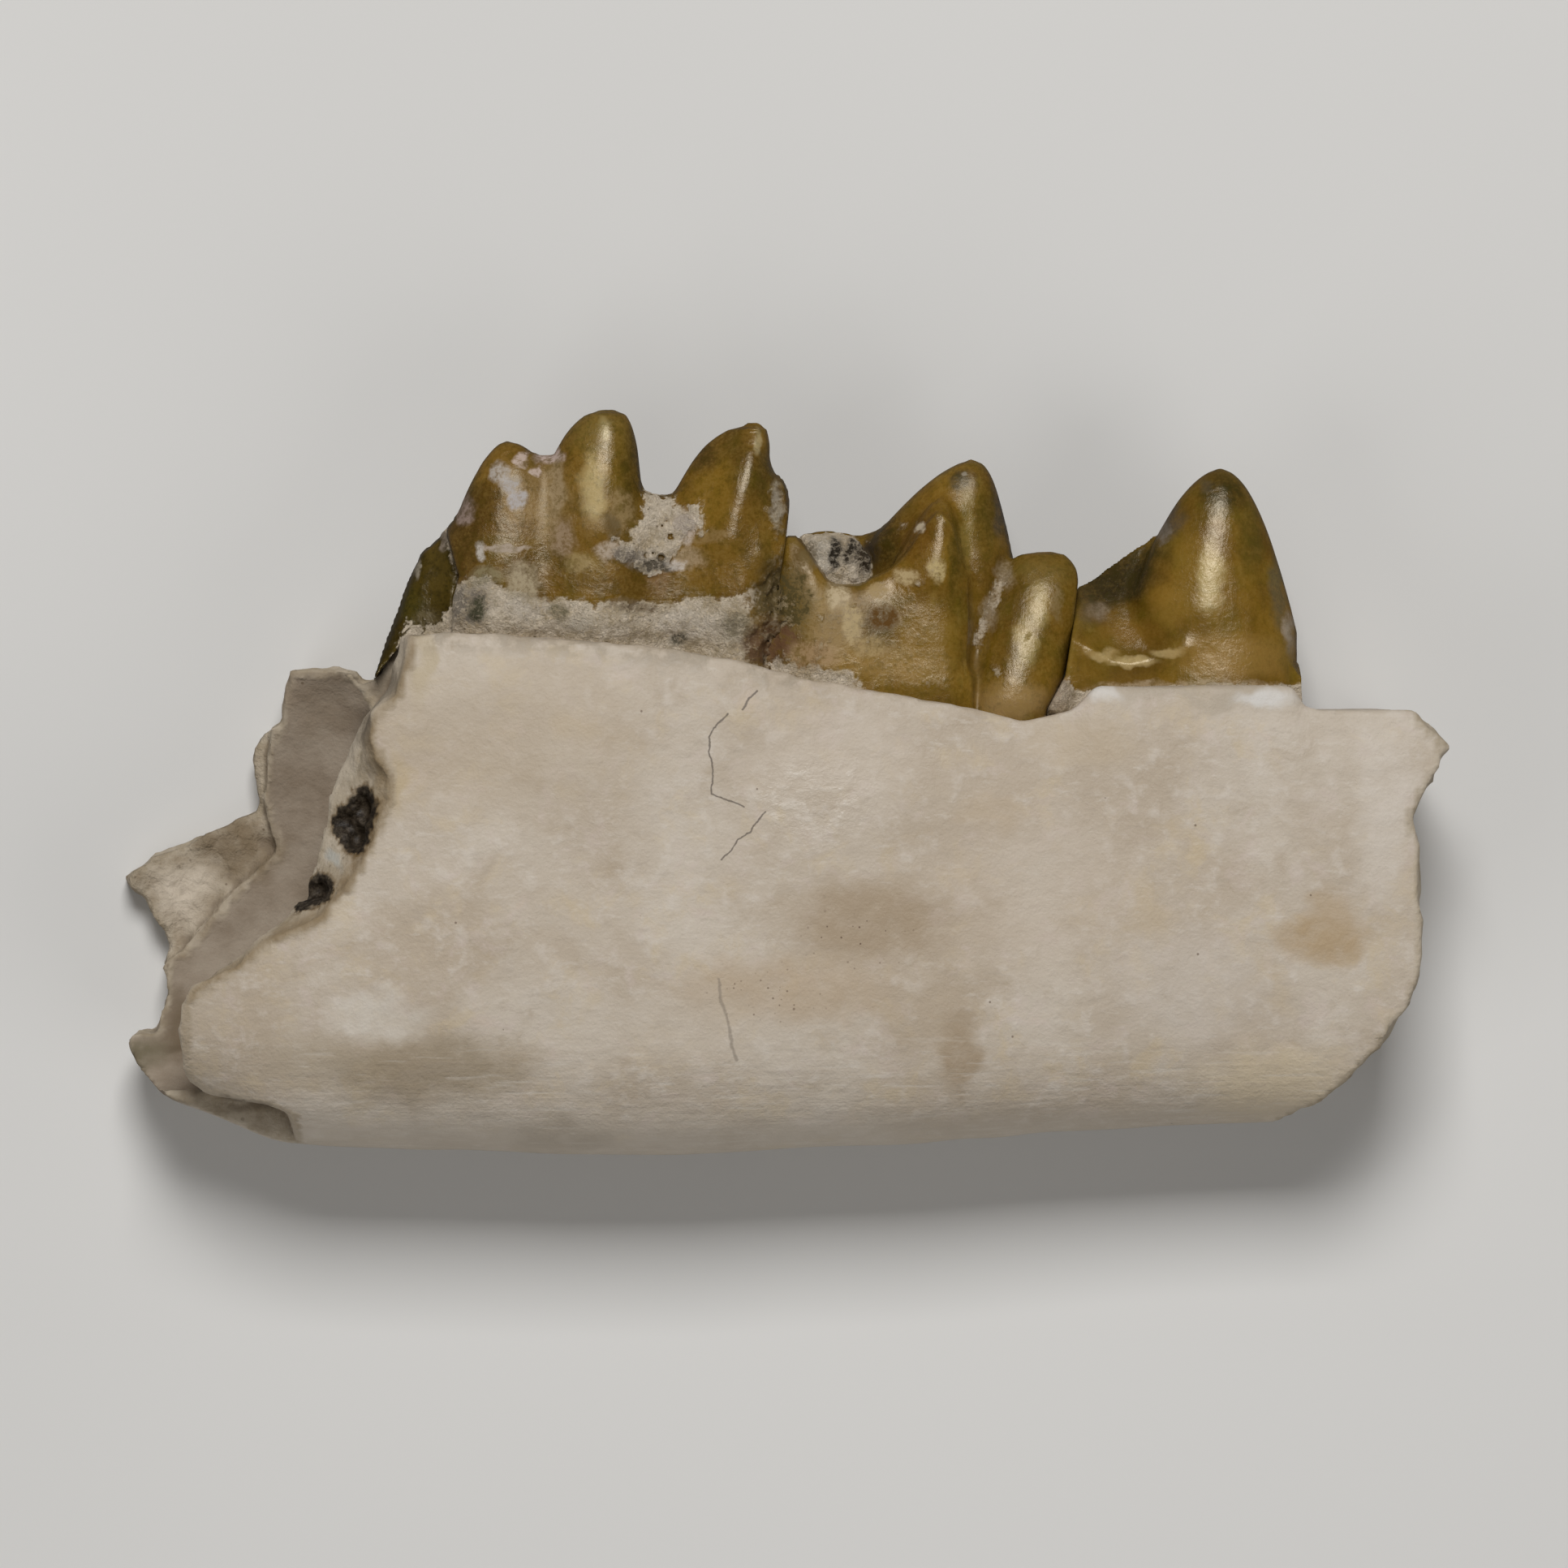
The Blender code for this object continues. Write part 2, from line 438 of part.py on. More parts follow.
finish(jaw_bone(), (0.476, 0.406, 0.327), 0.75)
finish(three_cusped_molar(), (0.179, 0.115, 0.035), 0.3)
finish(rear_premolar(), (0.165, 0.105, 0.02), 0.25)
finish(front_premolar(), (0.173, 0.105, 0.02), 0.25)
finish(broken_rear_molar(), (0.04, 0.023, 0.002), 0.35)
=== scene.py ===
import itertools
import math

import bpy
import numpy as np
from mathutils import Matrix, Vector


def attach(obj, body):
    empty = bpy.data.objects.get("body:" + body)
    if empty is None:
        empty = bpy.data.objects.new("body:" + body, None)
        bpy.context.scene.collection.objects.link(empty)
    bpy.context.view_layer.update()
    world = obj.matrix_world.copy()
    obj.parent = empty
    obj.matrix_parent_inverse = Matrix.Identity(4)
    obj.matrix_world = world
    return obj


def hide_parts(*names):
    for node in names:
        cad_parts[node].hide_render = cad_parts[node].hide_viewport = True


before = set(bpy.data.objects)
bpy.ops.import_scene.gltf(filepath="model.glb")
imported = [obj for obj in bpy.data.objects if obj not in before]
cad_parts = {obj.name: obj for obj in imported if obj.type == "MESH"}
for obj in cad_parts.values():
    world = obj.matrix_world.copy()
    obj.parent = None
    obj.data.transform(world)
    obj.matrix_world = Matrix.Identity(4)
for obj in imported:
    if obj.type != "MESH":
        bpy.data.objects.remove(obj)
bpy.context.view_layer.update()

# The jaw bone: a thin-walled piece of lower jaw, lying on its cheek side. It is turned to
# cream fossil bone and snapped at both ends, so the canal inside shows at the hind break.
# Its shape is a field in millimetres, below zero inside, and the mesh is the field's skin.
MM = 0.001
BONE_GRAIN = 0.105
BONE_LOW = (-14.75, -8.35, -0.2)
BONE_HIGH = (14.75, 3.7, 6.2)
# The edges from the tongue side, and the half thickness there, along the jaw.
LOWER_EDGE = [
    (-15.0, -5.6), (-14.1, -6.25), (-13.5, -6.85), (-12.6, -7.18), (-11.7, -7.55), (-11.0, -7.82),
    (-8.2, -7.94), (-4.7, -8.06), (-2.0, -8.08), (2.4, -7.9), (6.0, -7.58), (9.5, -7.44),
    (15.0, -7.28),
]
UPPER_EDGE = [
    (-15.0, 3.2), (-8.0, 3.23), (-6.1, 3.24), (-4.7, 3.12), (-2.9, 2.96), (-1.1, 2.7), (0.7, 2.25),
    (2.4, 1.98), (4.2, 1.66), (5.2, 1.4), (6.3, 1.62), (6.8, 2.14), (11.05, 2.16), (11.3, 1.78),
    (11.6, 1.62), (15.0, 1.66),
]
TONGUE_HALF = [(-15.0, 2.6), (-9.0, 2.78), (-4.0, 2.75), (2.0, 2.5), (8.0, 2.2), (15.0, 1.95)]
# The rounded section: share of the height, and share of the thickness on either side.
TONGUE_SHAPE = [
    (0.0, 0.0), (0.012, 0.27), (0.04, 0.5), (0.09, 0.72), (0.17, 0.89), (0.3, 0.98), (0.45, 1.0),
    (0.62, 0.98), (0.78, 0.97), (0.89, 0.96), (0.94, 0.945), (0.975, 0.9), (1.0, 0.8),
]
CHEEK_SHAPE = [(1.0, 0.7), (0.97, 0.78), (0.9, 0.85), (0.76, 0.94), (0.6, 1.0), (0.42, 1.0),
               (0.26, 0.95), (0.14, 0.8), (0.06, 0.56), (0.02, 0.32)]
JAW_MID_Z = 2.9
CHEEK_BELLY = 3.15
STEP_TOP, STEP_RISE, SOCKET_RISE = 1.65, 0.55, 3.0
DENT = ((3.8, 0.7), (2.4, 0.8), 0.10)
# The breaks from the tongue side. BEHIND and AHEAD close them past the ends of the jaw.
BEHIND = [(-17.0, -9.0), (-17.0, 4.6)]
AHEAD = [(17.0, 4.0), (17.0, -9.0)]
CHEEK_WALL_BREAK = [
    (-7.7, 4.6), (-7.9, 3.5), (-8.35, 3.12), (-8.6, 2.7), (-8.88, 2.27), (-9.18, 2.19),
    (-9.34, 2.42), (-9.75, 2.51), (-10.77, 2.48), (-10.86, 2.05), (-10.95, 1.38), (-11.39, 1.03),
    (-11.55, 0.73), (-11.6, 0.19), (-11.43, -0.34), (-11.53, -0.6), (-12.1, -0.9), (-13.16, -1.31),
    (-13.87, -1.61), (-14.49, -2.07), (-14.13, -2.46), (-13.78, -2.9), (-13.46, -3.61),
    (-13.55, -3.96), (-13.51, -4.67), (-13.74, -5.43), (-14.08, -5.38), (-14.36, -5.59),
    (-14.2, -6.1), (-14.0, -9.0),
]
TONGUE_WALL_BREAK = [
    (-7.99, 4.6), (-8.0, 3.2), (-8.12, 2.6), (-8.35, 1.96), (-8.82, 1.52), (-8.91, 1.08),
    (-8.77, 0.55), (-8.56, 0.11), (-8.57, -0.34), (-8.74, -0.78), (-8.88, -1.31), (-9.27, -1.93),
    (-9.62, -2.37), (-9.89, -2.9), (-10.95, -3.26), (-11.39, -3.52), (-11.74, -3.88),
    (-12.5, -4.28), (-12.95, -4.75), (-13.02, -5.26), (-12.97, -5.95), (-12.81, -6.53),
    (-12.4, -6.87), (-11.74, -7.01), (-11.09, -7.06), (-10.59, -7.29), (-10.4, -9.0),
]
INNER_WALL_BREAK = [
    (-8.2, 4.6), (-8.25, 2.94), (-8.6, 2.0), (-9.0, 1.5), (-9.35, 0.8), (-9.75, -0.05),
    (-10.0, -0.6), (-10.2, -1.3), (-10.5, -2.0), (-10.75, -2.6), (-11.2, -3.1), (-11.8, -3.6),
    (-12.4, -3.95), (-13.0, -4.4), (-13.1, -5.3), (-13.05, -5.95), (-12.9, -6.4), (-12.45, -6.72),
    (-11.8, -6.86), (-11.15, -6.92), (-10.7, -7.1), (-10.5, -9.0),
]
WALL_OUTSIDE_Z, WALL_INSIDE_Z, RIM_TOP_Z = 5.5, 4.15, 3.35
FRONT_BREAK = [
    (10.9, -9.0), (11.12, -7.42), (11.44, -7.19), (11.97, -6.71), (12.4, -6.2), (13.04, -5.56),
    (13.53, -4.85), (13.74, -4.32), (13.87, -3.26), (13.83, -2.19), (13.71, -0.78), (13.78, -0.34),
    (14.1, 0.11), (14.49, 0.85), (14.19, 1.2), (13.83, 1.43), (13.57, 1.7), (13.5, 4.0),
]
FRONT_SETBACK = 0.35
FRONT_CANAL = ((14.2, -3.6, 2.3), (2.0, 1.35, 0.85))
# A thin layer is flaked off the cheek wall, down to a level.
LAYER_EDGE = [(-11.2, 1.2), (-11.38, -0.3), (-11.1, -1.45), (-11.75, -2.1), (-12.55, -2.9),
              (-13.2, -3.7), (-13.8, -4.2)]
LAYER_LEVEL = 0.85
# The canal: x, middle y and z, half height and half depth.
CANAL = [
    (-16.0, -2.2, 3.75, 4.5, 2.5), (-13.0, -2.3, 3.3, 4.4, 2.15), (-11.2, -1.7, 2.98, 4.7, 1.78),
    (-9.7, -1.3, 2.83, 4.2, 1.35), (-8.9, -1.3, 2.65, 3.4, 0.95), (-8.0, -1.3, 2.6, 2.4, 0.7),
    (-6.6, -1.3, 2.7, 1.5, 0.5), (-5.2, -1.3, 2.9, 0.7, 0.4),
]
CANAL_END = -5.2
# Pores in the broken wall: (middle, half sizes).
SPONGY_HOLES = [
    ((-9.1, -0.5, 5.1), (0.26, 0.36, 0.55)),
    ((-9.45, -0.8, 4.9), (0.26, 0.25, 0.5)),
    ((-9.2, -1.1, 5.0), (0.22, 0.27, 0.5)),
    ((-10.1, -2.3, 5.05), (0.3, 0.24, 0.5)),
    ((-10.42, -2.44, 4.85), (0.28, 0.19, 0.45)),
]


def block(low, high, step):
    """X, Y and Z of a box of grid points, as arrays that broadcast together."""
    x, y, z = (np.arange(a, b, step, dtype=np.float32) for a, b in zip(low, high))
    return x[:, None, None], y[None, :, None], z[None, None, :]


def grain(x, y, z, size, seed):
    """Soft random field between -1 and 1 whose lumps are about size across."""
    table = np.random.default_rng(seed).uniform(-1.0, 1.0, (64, 64, 64)).astype(np.float32)
    cells = []
    for value in (x, y, z):
        scaled = value / size + 31.7
        floor = np.floor(scaled)
        part = (scaled - floor).astype(np.float32)
        first = floor.astype(np.int32) % 64
        cells.append((first, (first + 1) % 64, part * part * (3.0 - 2.0 * part)))
    total = 0.0
    for corner in itertools.product((0, 1), repeat=3):
        weight = 1.0
        for pick, (_, _, part) in zip(corner, cells):
            weight = weight * (part if pick else 1.0 - part)
        total = total + weight * table[tuple(cell[k] for cell, k in zip(cells, corner))]
    return total


def rough(x, y, z, size, seed):
    """Three sizes of grain on top of each other."""
    total = grain(x, y, z, size, seed)
    total = total + 0.5 * grain(x, y, z, 0.47 * size, seed + 1)
    return total + 0.25 * grain(x, y, z, 0.22 * size, seed + 2)


def ramp(value, low, high):
    """0 at low and 1 at high, smooth in between; low may be above high."""
    share = np.clip((value - low) / (high - low), 0.0, 1.0)
    return share * share * (3.0 - 2.0 * share)


def along(x, line):
    """Height at x of a line of (x, height) points."""
    return np.interp(x, *zip(*line))


def eased(x, line, reach):
    """The same with the line's corners rounded over a reach."""
    offsets = np.linspace(-1.0, 1.0, 9)
    weights = 1.0 - offsets ** 2 * 0.9
    total = sum(w * along(x + o * reach, line) for o, w in zip(offsets, weights))
    return total / weights.sum()


def outline_distance(x, y, outline):
    """Distance from points to a closed outline, negative inside it."""
    nearest = np.full(np.broadcast(x, y).shape, 1e9, dtype=np.float32)
    inside = np.zeros(nearest.shape, dtype=bool)
    corners = np.asarray(outline, dtype=np.float32)
    for (ax, ay), (bx, by) in zip(corners, np.roll(corners, -1, axis=0)):
        ex, ey = bx - ax, by - ay
        px, py = x - ax, y - ay
        share = np.clip((px * ex + py * ey) / max(ex * ex + ey * ey, 1e-9), 0.0, 1.0)
        nearest = np.minimum(nearest, (px - ex * share) ** 2 + (py - ey * share) ** 2)
        level = ey if abs(ey) > 1e-9 else 1e-9
        inside ^= ((ay > y) != (by > y)) & (x < ax + py * ex / level)
    return np.where(inside, -1.0, 1.0) * np.sqrt(nearest)


def ellipsoid(x, y, z, middle, reach):
    """About the distance from points to an ellipsoid, negative inside it."""
    far = sum(((v - m) / r) ** 2 for v, m, r in zip((x, y, z), middle, reach))
    return (np.sqrt(far) - 1.0) * min(reach)


def merge(a, b, soft):
    """Union of two fields with a fillet about as wide as soft."""
    mix = np.clip(0.5 + 0.5 * (b - a) / soft, 0.0, 1.0)
    return b * (1.0 - mix) + a * mix - soft * mix * (1.0 - mix)


def carve(a, b, soft):
    """Field a with field b taken out of it, with an edge worn about as wide as soft."""
    return -merge(-a, b, soft)


def skin(values, low, step):
    """Points and four-sided faces of the surface where a field passes through zero."""
    values = values.copy()
    for axis in range(3):
        for side in (0, -1):
            values[(slice(None),) * axis + (side,)] = 1.0
    inside = values < 0.0
    size = [n - 1 for n in values.shape]
    corners = list(itertools.product((0, 1), repeat=3))
    count = np.zeros(size, dtype=np.int8)
    for a, b, c in corners:
        count += inside[a:a + size[0], b:b + size[1], c:c + size[2]]
    cells = np.argwhere((count > 0) & (count < 8))
    at = [values[tuple((cells + corner).T)] for corner in corners]
    total = np.zeros((len(cells), 3))
    hits = np.zeros(len(cells))
    for i, j in itertools.combinations(range(8), 2):
        way = np.subtract(corners[j], corners[i])
        if np.abs(way).sum() != 1:
            continue
        cross = (at[i] < 0.0) != (at[j] < 0.0)
        share = at[i] / np.where(cross, at[i] - at[j], 1.0)
        total += cross[:, None] * (np.array(corners[i]) + share[:, None] * way)
        hits += cross
    points = (cells + total / hits[:, None]) * step + np.array(low)
    number = np.full(size, -1)
    number[tuple(cells.T)] = np.arange(len(cells))
    faces = []
    for axis in range(3):
        lower = [slice(None)] * 3
        upper = [slice(None)] * 3
        lower[axis], upper[axis] = slice(0, -1), slice(1, None)
        spots = np.argwhere(inside[tuple(lower)] != inside[tuple(upper)])
        u, v = (axis + 1) % 3, (axis + 2) % 3
        ring = []
        for du, dv in ((1, 1), (0, 1), (0, 0), (1, 0)):
            cell = spots.copy()
            cell[:, u] -= du
            cell[:, v] -= dv
            ring.append(number[tuple(cell.T)])
        quad = np.stack(ring, axis=1)
        faces.append(np.where(inside[tuple(spots.T)][:, None], quad, quad[:, ::-1]))
    return points, np.concatenate(faces)


def relaxed(points, faces, rounds):
    """The points after each has moved to the middle of its neighbours a few times."""
    pairs = np.concatenate([faces[:, [i, (i + 1) % 4]] for i in range(4)])
    pairs = np.concatenate([pairs, pairs[:, ::-1]])
    count = np.bincount(pairs[:, 0], minlength=len(points))
    for _ in range(rounds):
        moved = [np.bincount(pairs[:, 0], points[pairs[:, 1], k], len(points)) for k in range(3)]
        points = np.stack(moved, axis=1) / count[:, None]
    return points


def outward(points, faces):
    """Unit normals of the points."""
    a, b, c, d = (points[faces[:, i]] for i in range(4))
    normal = np.cross(c - a, d - b)
    total = np.zeros_like(points)
    for k in range(3):
        for i in range(4):
            total[:, k] += np.bincount(faces[:, i], normal[:, k], len(points))
    return total / np.maximum(np.linalg.norm(total, axis=1), 1e-12)[:, None]


def relief(points, faces, rounds):
    """How far each point stands out of the smoothed surface; negative in hollows."""
    return ((points - relaxed(points, faces, rounds)) * outward(points, faces)).sum(axis=1)


def read(values, low, step, points):
    """Values of a grid at the points nearest to a surface's points."""
    near = np.rint((points - np.array(low)) / step).astype(int)
    near = np.clip(near, 0, np.array(values.shape) - 1)
    return values[tuple(near.T)]


def piece(name, points, faces, masks):
    """Smooth-shaded object from points in millimetres, which carry the named masks."""
    mesh = bpy.data.meshes.new(name)
    mesh.from_pydata((points * MM).tolist(), [], faces.tolist())
    mesh.shade_smooth()
    for key, values in masks.items():
        layer = mesh.attributes.new(key, 'FLOAT', 'POINT')
        layer.data.foreach_set("value", np.asarray(values, dtype=np.float32))
    obj = bpy.data.objects.new(name, mesh)
    bpy.context.scene.collection.objects.link(obj)
    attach(obj, "root")
    return obj


def jaw_walls(x, y, z):
    """The unbroken jaw: a rounded section drawn afresh at each step along it."""
    line = x[:, 0, 0]
    roots = np.linspace(0.0, 1.0, 44)
    shares = roots ** 2
    tongue, cheek = (
        eased(roots, [(math.sqrt(s), v) for s, v in shape], 0.06)
        for shape in (TONGUE_SHAPE, sorted([(0.0, 0.0)] + CHEEK_SHAPE)))
    tongue[0] = cheek[0] = 0.0
    edges = (eased(line, LOWER_EDGE, 0.5), eased(line, UPPER_EDGE, 0.16),
             eased(line, TONGUE_HALF, 1.5))
    layers = []
    for low, high, thick in zip(*edges):
        ys = low + shares * (high - low)
        front = np.stack([ys, JAW_MID_Z + tongue * thick], axis=1)
        back = np.stack([ys, JAW_MID_Z - cheek * CHEEK_BELLY], axis=1)[:0:-1]
        layers.append(outline_distance(y[0], z[0], np.concatenate([front, back])))
    return np.stack(layers)


def dented(walls, x, y, z):
    """The walls with a shallow dent under the rear premolar."""
    (mx, my), (rx, ry), deep = DENT
    dent = deep * np.exp(-((x - mx) / rx) ** 2 - ((y - my) / ry) ** 2)
    return walls + dent * (z > JAW_MID_Z)


def canal(x, y, z):
    """The canal inside the jaw, closed where it gets thin."""
    middle_y, middle_z, half_y, half_z = (
        eased(x, [(row[0], row[k]) for row in CANAL], 0.6) for k in (1, 2, 3, 4))
    far = np.sqrt(((y - middle_y) / half_y) ** 2 + ((z - middle_z) / half_z) ** 2)
    return np.maximum((far - 1.0) * half_z, x - CANAL_END)


def tongue_wall_break(x, y, z):
    """The slanting break of the tongue-side wall, open towards the back."""
    outside = outline_distance(x, y, TONGUE_WALL_BREAK + BEHIND)
    inside = outline_distance(x, y, INNER_WALL_BREAK + BEHIND)
    share = np.clip((z - WALL_INSIDE_Z) / (WALL_OUTSIDE_Z - WALL_INSIDE_Z), 0.0, 1.0)
    return np.maximum(share * outside + (1.0 - share) * inside, RIM_TOP_Z - z)


def front_break(x, y, z):
    """The break in front, set back towards the cheek side, with the end of a canal in it."""
    near = outline_distance(x, y, FRONT_BREAK + AHEAD)
    return np.minimum(near - FRONT_SETBACK * ramp(z, 4.6, -0.4), ellipsoid(x, y, z, *FRONT_CANAL))


# The walls, a little uneven, with the step for the teeth and small chips along the sockets.
x, y, z = block(BONE_LOW, BONE_HIGH, BONE_GRAIN)
ragged = 0.09 * rough(x, y, z, 0.5, 11)
walls = jaw_walls(x, y, z) + 0.05 * grain(x, y, z, 2.6, 3) + 0.02 * grain(x, y, z, 0.9, 4)
walls = dented(walls, x, y, z)
brim = along(x, UPPER_EDGE)
shoulder = STEP_TOP + STEP_RISE * ramp(z, 0.4, 2.0) * ramp(x, 11.4, 11.0)
shoulder = shoulder + SOCKET_RISE * ramp(x, 7.0, 6.2)
walls = np.maximum(walls, y - shoulder)
chips = ramp(y, brim - 0.4, brim - 0.05) * ramp(z, 3.4, 4.2) * ramp(x, 5.5, 3.0)
walls = walls + chips * (0.015 + 0.035 * rough(x, y, z, 0.32, 5))
# What is missing: the broken walls, the canal, the flaked layer, the front and the pores.
cheek_break = outline_distance(x, y, CHEEK_WALL_BREAK + BEHIND) + ragged
tongue_break = tongue_wall_break(x, y, z) + 0.8 * ragged
hollow = canal(x, y, z) + 0.03 * rough(x, y, z, 1.1, 21)
layer_edge = outline_distance(x, y, LAYER_EDGE + [(-17.0, -4.6), (-17.0, 1.2)])
layer_floor = LAYER_LEVEL + 0.09 * rough(x, y, z, 0.35, 31)
layer = np.maximum(layer_edge + 0.7 * ragged, layer_floor - z)
snapped = front_break(x, y, z) + 0.9 * ragged + 0.05 * grain(x, y, z, 1.3, 12)
torn_face = 0.12 + 0.10 * rough(x, y, z, 0.9, 13) + 0.05 * rough(x, y, z, 0.4, 14)
snapped = snapped - ramp(z, 4.4, 3.4) * torn_face
pores = np.full_like(walls, 9.0)
for middle, reach in SPONGY_HOLES:
    pores = np.minimum(pores, ellipsoid(x, y, z, middle, reach) + 0.7 * ragged)
bone = walls
for cut, worn in ((cheek_break, 0.06), (tongue_break, 0.06), (hollow, 0.06), (layer, 0.05),
                  (pores, 0.05), (snapped, 0.1)):
    bone = carve(bone, cut, worn)
bone = np.maximum(bone, -z)
points, faces = skin(bone, BONE_LOW, BONE_GRAIN)


def cut_mask(values):
    """1 where a cut made the bone's surface, fading to 0 a little way beside it."""
    values = np.broadcast_to(values, bone.shape)
    return ramp(read(values, BONE_LOW, BONE_GRAIN, points), 0.22, 0.05)


px, py, pz = points.T
outer_rim = outline_distance(px, py, TONGUE_WALL_BREAK + BEHIND)
inner_rim = outline_distance(px, py, INNER_WALL_BREAK + BEHIND)
broken_walls = np.maximum(cut_mask(tongue_break), cut_mask(cheek_break))
jaw = piece("fossil_bone", points, faces, {
    "inner": cut_mask(hollow),
    "flaked": cut_mask(layer),
    "broken": np.maximum(broken_walls, cut_mask(snapped)),
    "pore": cut_mask(pores),
    # Masks for a darker band on the break's outer rim and a paler one on its inner crest, each
    # partly painted light.
    "rim": ramp(np.abs(outer_rim), 0.4, 0.0) * ramp(pz, 3.6, 4.6),
    "crest": ramp(np.abs(inner_rim), 0.3, 0.05) * ramp(pz, 3.3, 4.0),
    "brim": ramp(py - along(px, UPPER_EDGE), -0.55, -0.1) * ramp(pz, 3.6, 4.4),
    "relief": relief(points, faces, 6),
})
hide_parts("jaw_bone")


def connect(node, inputs):
    """Set a node's sockets to values, or link wires to them."""
    for key, value in inputs.items():
        if isinstance(value, Wire):
            value.tree.links.new(value.socket, node.inputs[key])
        else:
            node.inputs[key].default_value = value


class Wire:
    """An output of a material's nodes. Arithmetic on wires adds Math nodes."""

    def __init__(self, tree, socket):
        self.tree = tree
        self.socket = socket

    def node(self, kind, settings, inputs, output=0):
        """A new node: its settings are set first, then its sockets' values or links."""
        made = self.tree.nodes.new(kind)
        for key, value in settings.items():
            setattr(made, key, value)
        connect(made, inputs)
        return Wire(self.tree, made.outputs[output])

    def beside(self, output):
        """Another output of the same node."""
        return Wire(self.tree, self.socket.node.outputs[output])

    def math(self, operation, *values):
        return self.node("ShaderNodeMath", {"operation": operation}, dict(enumerate(values)))

    def vector(self, operation, *values, output=0):
        return self.node("ShaderNodeVectorMath", {"operation": operation},
                         dict(enumerate(values)), output)

    def __add__(self, other):
        return self.math('ADD', self, other)

    def __sub__(self, other):
        return self.math('SUBTRACT', self, other)

    def __rsub__(self, other):
        return self.math('SUBTRACT', other, self)

    def __mul__(self, other):
        return self.math('MULTIPLY', self, other)

    __radd__ = __add__
    __rmul__ = __mul__

    def least(self, other):
        return self.math('MINIMUM', self, other)

    def most(self, other):
        return self.math('MAXIMUM', self, other)

    def ramp(self, low, high, top=1.0):
        """0 at low and top at high, smooth in between; low may be above high."""
        ends = (low, high, 0.0, top) if low < high else (high, low, top, 0.0)
        return self.node("ShaderNodeMapRange", {"interpolation_type": 'SMOOTHSTEP'},
                         dict(enumerate((self, *ends))))

    def blend(self, first, second):
        """The first colour where this wire is 0, and the second where it is 1."""
        first, second = (c if isinstance(c, Wire) else (*c, 1.0) for c in (first, second))
        return self.node("ShaderNodeMix", {"data_type": 'RGBA'},
                         {0: self, 6: first, 7: second}, 2)

    def paint(self, *coats):
        """This colour under coats of (colour, amount of 0 to 1), laid over it one by one."""
        painted = self
        for colour, amount in coats:
            painted = amount.blend(painted, colour)
        return painted


def start_finish(name):
    """A new material: its shader node, and the place on the piece in millimetres as a wire."""
    material = bpy.data.materials.new(name)
    material.use_nodes = True
    tree = material.node_tree
    place = Wire(tree, None).node("ShaderNodeTexCoord", {}, {}, 3)
    place = place.vector('MULTIPLY', place, (1.0 / MM,) * 3)
    return material, tree.nodes["Principled BSDF"], place


def apart(vector):
    """The X, Y and Z of a vector wire."""
    split = vector.node("ShaderNodeSeparateXYZ", {}, {0: vector})
    return split, split.beside(1), split.beside(2)


def mask_of(place, name):
    """One of the mask values that the mesh carries."""
    return place.node("ShaderNodeAttribute", {"attribute_name": name}, {}, 2)


def mottle(place, scale, detail=3.0, roughness=0.55, stretch=None):
    """Soft noise of 0 to 1 with lumps 1/scale millimetres across, or stretched."""
    if stretch:
        place = place.vector('MULTIPLY', place, stretch)
    return place.node("ShaderNodeTexNoise", {},
                      {"Vector": place, "Scale": scale, "Detail": detail, "Roughness": roughness})


def clouded(place, scale, first, second, detail=4.0):
    """A soft, cloudy mix of two colours."""
    return mottle(place, scale, detail).ramp(0.32, 0.68).blend(first, second)


def warped(place, scale, amount):
    """The place shifted by noise, so that a patch drawn on it has an uneven edge."""
    noise = mottle(place, scale, roughness=0.5).beside("Color")
    shift = noise.vector('MULTIPLY_ADD', noise, (amount,) * 3, (-0.5 * amount,) * 3)
    return shift.vector('ADD', place, shift)


def patch(place, middle, reach, strength=1.0):
    """The strength in the middle of an ellipsoid, falling to 0 at its edge."""
    share = [1.0 / r for r in reach]
    shift = [-m / r for m, r in zip(middle, reach)]
    off = place.vector('MULTIPLY_ADD', place, share, shift)
    return off.vector('LENGTH', off, output=1).ramp(1.0, 0.35, strength)


def dots(place, scale, share, size=0.14):
    """Small round specks, about scale of them a millimetre, on a share of the places."""
    cell = place.node("ShaderNodeTexVoronoi", {}, {"Vector": place, "Scale": scale})
    chance = apart(cell.beside("Color"))[0]
    return cell.ramp(size, 0.5 * size) * chance.ramp(1.0 - share, 1.02 - share)


def crack(px, py, route, wide, thin):
    """1 within thin of a broken line of (x, y) points, and 0 beyond wide."""
    nearest = None
    for (ax, ay), (bx, by) in zip(route, route[1:]):
        ex, ey = bx - ax, by - ay
        share = ((px - ax) * ex + (py - ay) * ey) * (1.0 / (ex * ex + ey * ey))
        share = share.node("ShaderNodeClamp", {}, {0: share})
        dx = px - ax - share * ex
        dy = py - ay - share * ey
        square = dx * dx + dy * dy
        far = square.math('SQRT', square)
        nearest = nearest.least(far) if nearest else far
    return nearest.ramp(wide, thin)


def bump(height, depth):
    """Normal of a relief this many millimetres deep."""
    return height.node("ShaderNodeBump", {},
                       {"Height": height, "Distance": depth * MM, "Strength": 1.0})


